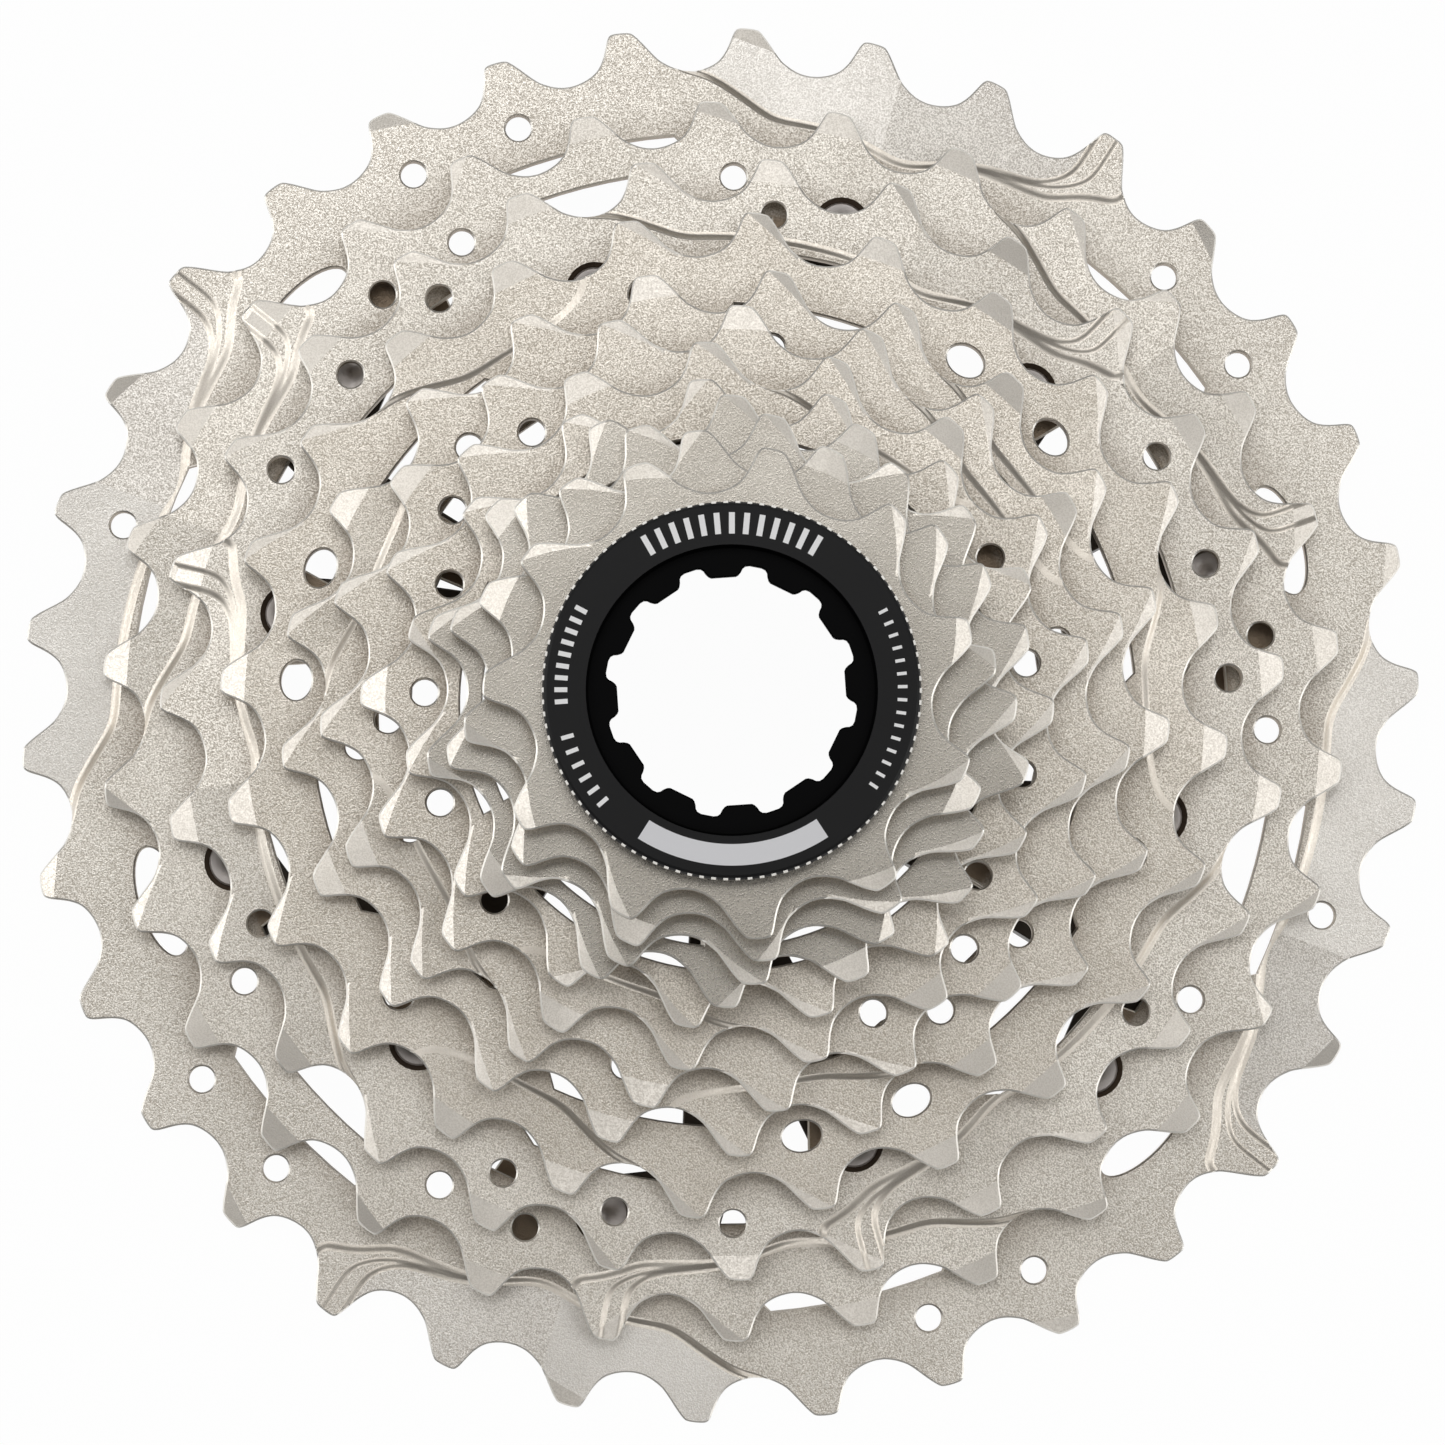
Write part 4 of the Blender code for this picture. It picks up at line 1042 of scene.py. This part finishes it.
# %% Rivets and spacers
HEAD = 2.42
RIVET_ROWS = [("rear", REAR_RIVET, REAR_TURN, 0.3, 4.9), ("front", FRONT_RIVET, FRONT_TURN, 5.8, 8.5),
              ("inner", INNER_RIVET, INNER_TURN, 5.8, 12.1)]
SPACER = band(17.6, 20.2, 0.0, 1.4)
SPACER_GAP = 0.3


def rivet_profile(low, high):
    """Radius and height pairs from the lower dimple to the upper one."""
    upper = [(0.0, high - 0.22), (0.5, high - 0.20), (0.85, high - 0.02), (HEAD - 0.18, high),
             (HEAD, high - 0.12), (1.6, high - 0.62)]
    lower = [(radius, low + high - z) for radius, z in upper]
    return lower + upper[::-1]


for kind, radius, start, low, high in RIVET_ROWS:
    piece = repeated(f"{kind}_rivets", turned(rivet_profile(low, high), 28), RIVET_STEEL, Count=6,
                     Radius=radius, Start=start, Turn=60.0)
    dress(piece, [f"{kind}_rivet_{k}" for k in range(1, 7)])
spacers = repeated("spacers", turned(SPACER, 72), ALLOY, Count=6,
                   Height=place_in_stack(21) + PLATE + SPACER_GAP, Rise=STEP)
names = [f"spacer_{a}_{b}" for a, b in zip(TEETH[4:10], TEETH[5:11])]
dress(spacers, names)
print("rivets:", 6 * len(RIVET_ROWS), "spacers:", names)

# %% [markdown]
# The lockring is the darkest thing in the picture: a black flange with a toothed socket for its
# tool, and a washer under it. The socket is an opening in a plate, and each of its twelve notches
# is half a profile, mirrored. The flange dishes in towards the socket, and the dish is painted a
# deeper black as shade, because little light finds its way out of it.

# %% Lockring flange and washer
TOP = 44.4
FLANGE = 17.65
FLANGE_BASE = 42.4
CHAMFER_EDGE, CHAMFER_RUN, CHAMFER_FALL = 17.25, 0.4, 0.35
DISH_EDGE, DISH_FOOT, DISH_DEPTH = 13.6, 13.35, 1.3
FIRST_NOTCH = -11.0
NOTCH = [(10.7, 8.8), (10.85, 7.6), (11.15, 6.5), (11.5, 5.8), (11.72, 4.7), (11.82, 2.8)]
washer = repeated("lockring_washer_ring", turned(band(15.5, 17.2, 41.5, 42.1), 96), ALLOY)
dress(washer, ["lockring_washer"], "lockring_washer")
socket = []
for notch in around(FIRST_NOTCH, 12):
    socket += [polar(radius, notch - away) for radius, away in NOTCH]
    socket += [polar(radius, notch + away) for radius, away in NOTCH[::-1]]
socket = np.vstack(socket)[::-1]


def flange_front(points):
    """The flange's height: flat, with a chamfered edge and a dish."""
    radius = np.hypot(*points.T)
    chamfer = np.clip((radius - CHAMFER_EDGE) / CHAMFER_RUN, 0.0, 1.0) * CHAMFER_FALL
    dish = np.clip((DISH_EDGE - radius) / (DISH_EDGE - DISH_FOOT), 0.0, 1.0) * DISH_DEPTH
    return TOP - chamfer - dish


# The dish takes a painted shade, a deeper black than the flange.
flange = plate("lockring_flange", [ccw_circle(FLANGE), socket], flange_front,
               lambda points: np.full(len(points), FLANGE_BASE), BLACK,
               rings=[ccw_circle(radius) for radius in (CHAMFER_EDGE, DISH_EDGE, DISH_FOOT)], worn_edges_and_wall_shade=False,
               paints=[(DISH_SHADE_BLACK, lambda points: np.hypot(*points.T) < DISH_EDGE)])
dress(flange, ["lockring"], "lockring")
print("lockring pieces:", washer.name, flange.name)

# %% [markdown]
# Below the flange hangs a threaded sleeve. Seen from the side as the ring screws out, a row of
# turned grooves reads as a thread, so the profile zigzags down the sleeve. The flange's edge is
# serrated, and the serrations have worn bright, so they show as a ring of light dashes.

# %% Lockring sleeve and serrations
SLEEVE_BORE, SLEEVE_RADIUS = 12.8, 15.2
SLEEVE_TOP, SLEEVE_END = 42.38, 33.8
GROOVE, HALF_PITCH = 0.35, 0.53
SERRATIONS = 98
thread = [(SLEEVE_RADIUS - GROOVE * (i % 2), SLEEVE_TOP - HALF_PITCH * i) for i in range(16)]
sleeve_profile = [(SLEEVE_BORE, SLEEVE_TOP), (SLEEVE_BORE, SLEEVE_END), *thread[::-1]]
sleeve = repeated("lockring_sleeve", turned(sleeve_profile, 96), BLACK)
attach(sleeve, "lockring")
serrations = repeated("lockring_serrations", block(0.20, 0.44, 0.9), BRIGHT, Count=SERRATIONS,
                      Radius=17.60, Turn=360.0 / SERRATIONS, Height=43.72)
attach(serrations, "lockring")
print("lockring pieces:", sleeve.name, serrations.name)

# %% [markdown]
# The flange carries plain marks, like those of a dial: one silver bar and four rows of pale ticks.
# The bar follows the flange's circle, so it is swept along an arc. The ticks are small blocks,
# and the tree sets each row.

# %% Plain marks on the lockring
MARK = 0.02
BAR_POINTS = 40
# Each row: how many, first angle, angle between, radius, length and width
TICK_ROWS = [(13, 60.0, 5.0, 15.6, 2.0, 0.55), (15, -34.0, 4.4, 15.9, 0.9, 0.30),
             (9, 152.0, 4.0, 15.9, 1.2, 0.45), (6, 196.0, 5.0, 15.9, 1.2, 0.40)]


def curved_bar(inner, outer, start, end, low, high):
    """A thin bar that follows a circle."""
    n = BAR_POINTS
    angles = np.linspace(start, end, n)
    lines = [np.column_stack([polar(radius, angles), np.full(n, z)])
             for radius, z in band(inner, outer, low, high)]
    faces = []
    for a, b in ((0, 1), (1, 2), (2, 3), (3, 0)):
        faces += [(a * n + i, b * n + i, b * n + i + 1, a * n + i + 1) for i in range(n - 1)]
    faces += [(3 * n, 2 * n, n, 0), (n - 1, 2 * n - 1, 3 * n - 1, 4 * n - 1)]
    return np.vstack(lines), faces


bar = curved_bar(14.35, 16.35, -122.3, -56.8, TOP - MARK, TOP + MARK)
marks = [repeated("lockring_silver_bar", bar, SILVER)]
for number, (count, start, turn, radius, radial, tangent) in enumerate(TICK_ROWS, 1):
    marks.append(repeated(f"lockring_ticks_{number}", block(radial, tangent, 2 * MARK), PALE, Count=count,
                          Radius=radius, Start=start, Turn=turn, Height=TOP))
for mark in marks:
    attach(mark, "lockring")
print("plain marks:", len(marks))

# %% [markdown]
# The photograph is a cut-out on white. A lit floor would turn grey, and its grey would show in
# every hole and in the polished edges. So the floor gives out a plain white to the camera and to
# reflections, and keeps a little of its own shading, while other light meets a pale matt floor.

# %% Floor
FLOOR_HALF = 3.0
FLOOR_HEIGHT = -0.0005
WHITE_SHARE = 0.97
floor_mesh = bpy.data.meshes.new("floor")
floor_mesh.from_pydata([(x * FLOOR_HALF, y * FLOOR_HALF, FLOOR_HEIGHT)
                        for x, y in ((-1, -1), (1, -1), (1, 1), (-1, 1))], [], [(0, 1, 2, 3)])
floor = bpy.data.objects.new("floor", floor_mesh)
bpy.context.scene.collection.objects.link(floor)
floor_material, floor_shader, _ = new_material("pale_floor")
floor_shader.inputs["Base Color"].default_value = (0.85, 0.85, 0.85, 1)
floor_shader.inputs["Roughness"].default_value = 0.9
floor_tree = floor_material.node_tree
path = floor_tree.nodes.new("ShaderNodeLightPath")
camera_ray, glossy_ray, clear_ray = (Field(floor_tree, path.outputs[f"Is {kind} Ray"])
                                     for kind in ("Camera", "Glossy", "Transmission"))
seen = camera_ray + glossy_ray + clear_ray
white = seen.node("ShaderNodeEmission", Color=(1, 1, 1, 1), Strength=1.0)
lit = Field(floor_tree, floor_shader.outputs[0])
shown = seen.node("ShaderNodeMixShader", i0=seen.math("MINIMUM", seen, 1.0) * WHITE_SHARE, i1=lit, i2=white)
floor_tree.links.new(shown.socket, floor_tree.nodes["Material Output"].inputs["Surface"])
floor_mesh.materials.append(floor_material)
print("floor:", 2 * FLOOR_HALF, "m wide")

# %% [markdown]
# Blasted metal shows what stands round it, so one lamp would leave most tooth facets dark. Five
# soft boxes stand round the camera: above, at the top, left, right and below, with the lower one
# weakest, so the upper facets are light and the gaps below each tooth keep a soft shade. Two low
# boxes at the sides rake across the plates and light the pressed walls.

# %% Light
LAMPS = [("soft_box_above", (-0.08, 0.38, 1.05), 0.55, 1.85),
         ("soft_box_top", (0.05, 0.80, 0.95), 0.45, 0.8),
         ("soft_box_left", (-0.66, 0.12, 0.95), 0.6, 2.4),
         ("soft_box_right", (0.60, 0.05, 0.98), 0.6, 2.0),
         ("soft_box_below", (0.02, -0.56, 0.98), 0.5, 1.25),
         ("low_box_left", (-1.00, 0.10, 0.38), 0.6, 2.2),
         ("low_box_right", (1.00, -0.25, 0.38), 0.6, 2.2)]
LAMP_TARGET = Vector((0.0, 0.0, 0.02))
world = bpy.data.worlds.new("studio")
bpy.context.scene.world = world
world.use_nodes = True
world.node_tree.nodes["Background"].inputs["Color"].default_value = (1.0, 0.985, 0.965, 1)
world.node_tree.nodes["Background"].inputs["Strength"].default_value = 0.10


def lamp(name, place, size, power):
    """A square soft box that faces the cassette."""
    data = bpy.data.lights.new(name, "AREA")
    data.size = size
    data.energy = power
    made = bpy.data.objects.new(name, data)
    made.location = place
    made.rotation_euler = (LAMP_TARGET - Vector(place)).to_track_quat("-Z", "Y").to_euler()
    bpy.context.scene.collection.objects.link(made)


for row in LAMPS:
    lamp(*row)
bpy.context.scene.view_settings.view_transform = "Standard"
print("lamps:", len(LAMPS))

# %% [markdown]
# The camera stands where the photograph was taken: nearly on the axis, a little below it and
# far off. Its place was found from the centres of the sprockets, which drift apart with height.
# The picture's upright is kept by building the camera's axes from the world's.

# %% Camera
camera_data = bpy.data.cameras.new("camera")
camera_data.sensor_width = 36.0
camera_data.lens = 169.0
camera = bpy.data.objects.new("camera", camera_data)
camera.location = (-0.0137, -0.0440, 0.6736)
target = Vector((0.0, -0.00025, 0.0016))
ahead = (target - camera.location).normalized()
right = ahead.cross(Vector((0.0, 1.0, 0.0))).normalized()
camera.rotation_euler = Matrix((right, right.cross(ahead), -ahead)).transposed().to_euler()
bpy.context.scene.collection.objects.link(camera)
bpy.context.scene.camera = camera
print("camera distance:", round((target - camera.location).length, 3), "m")
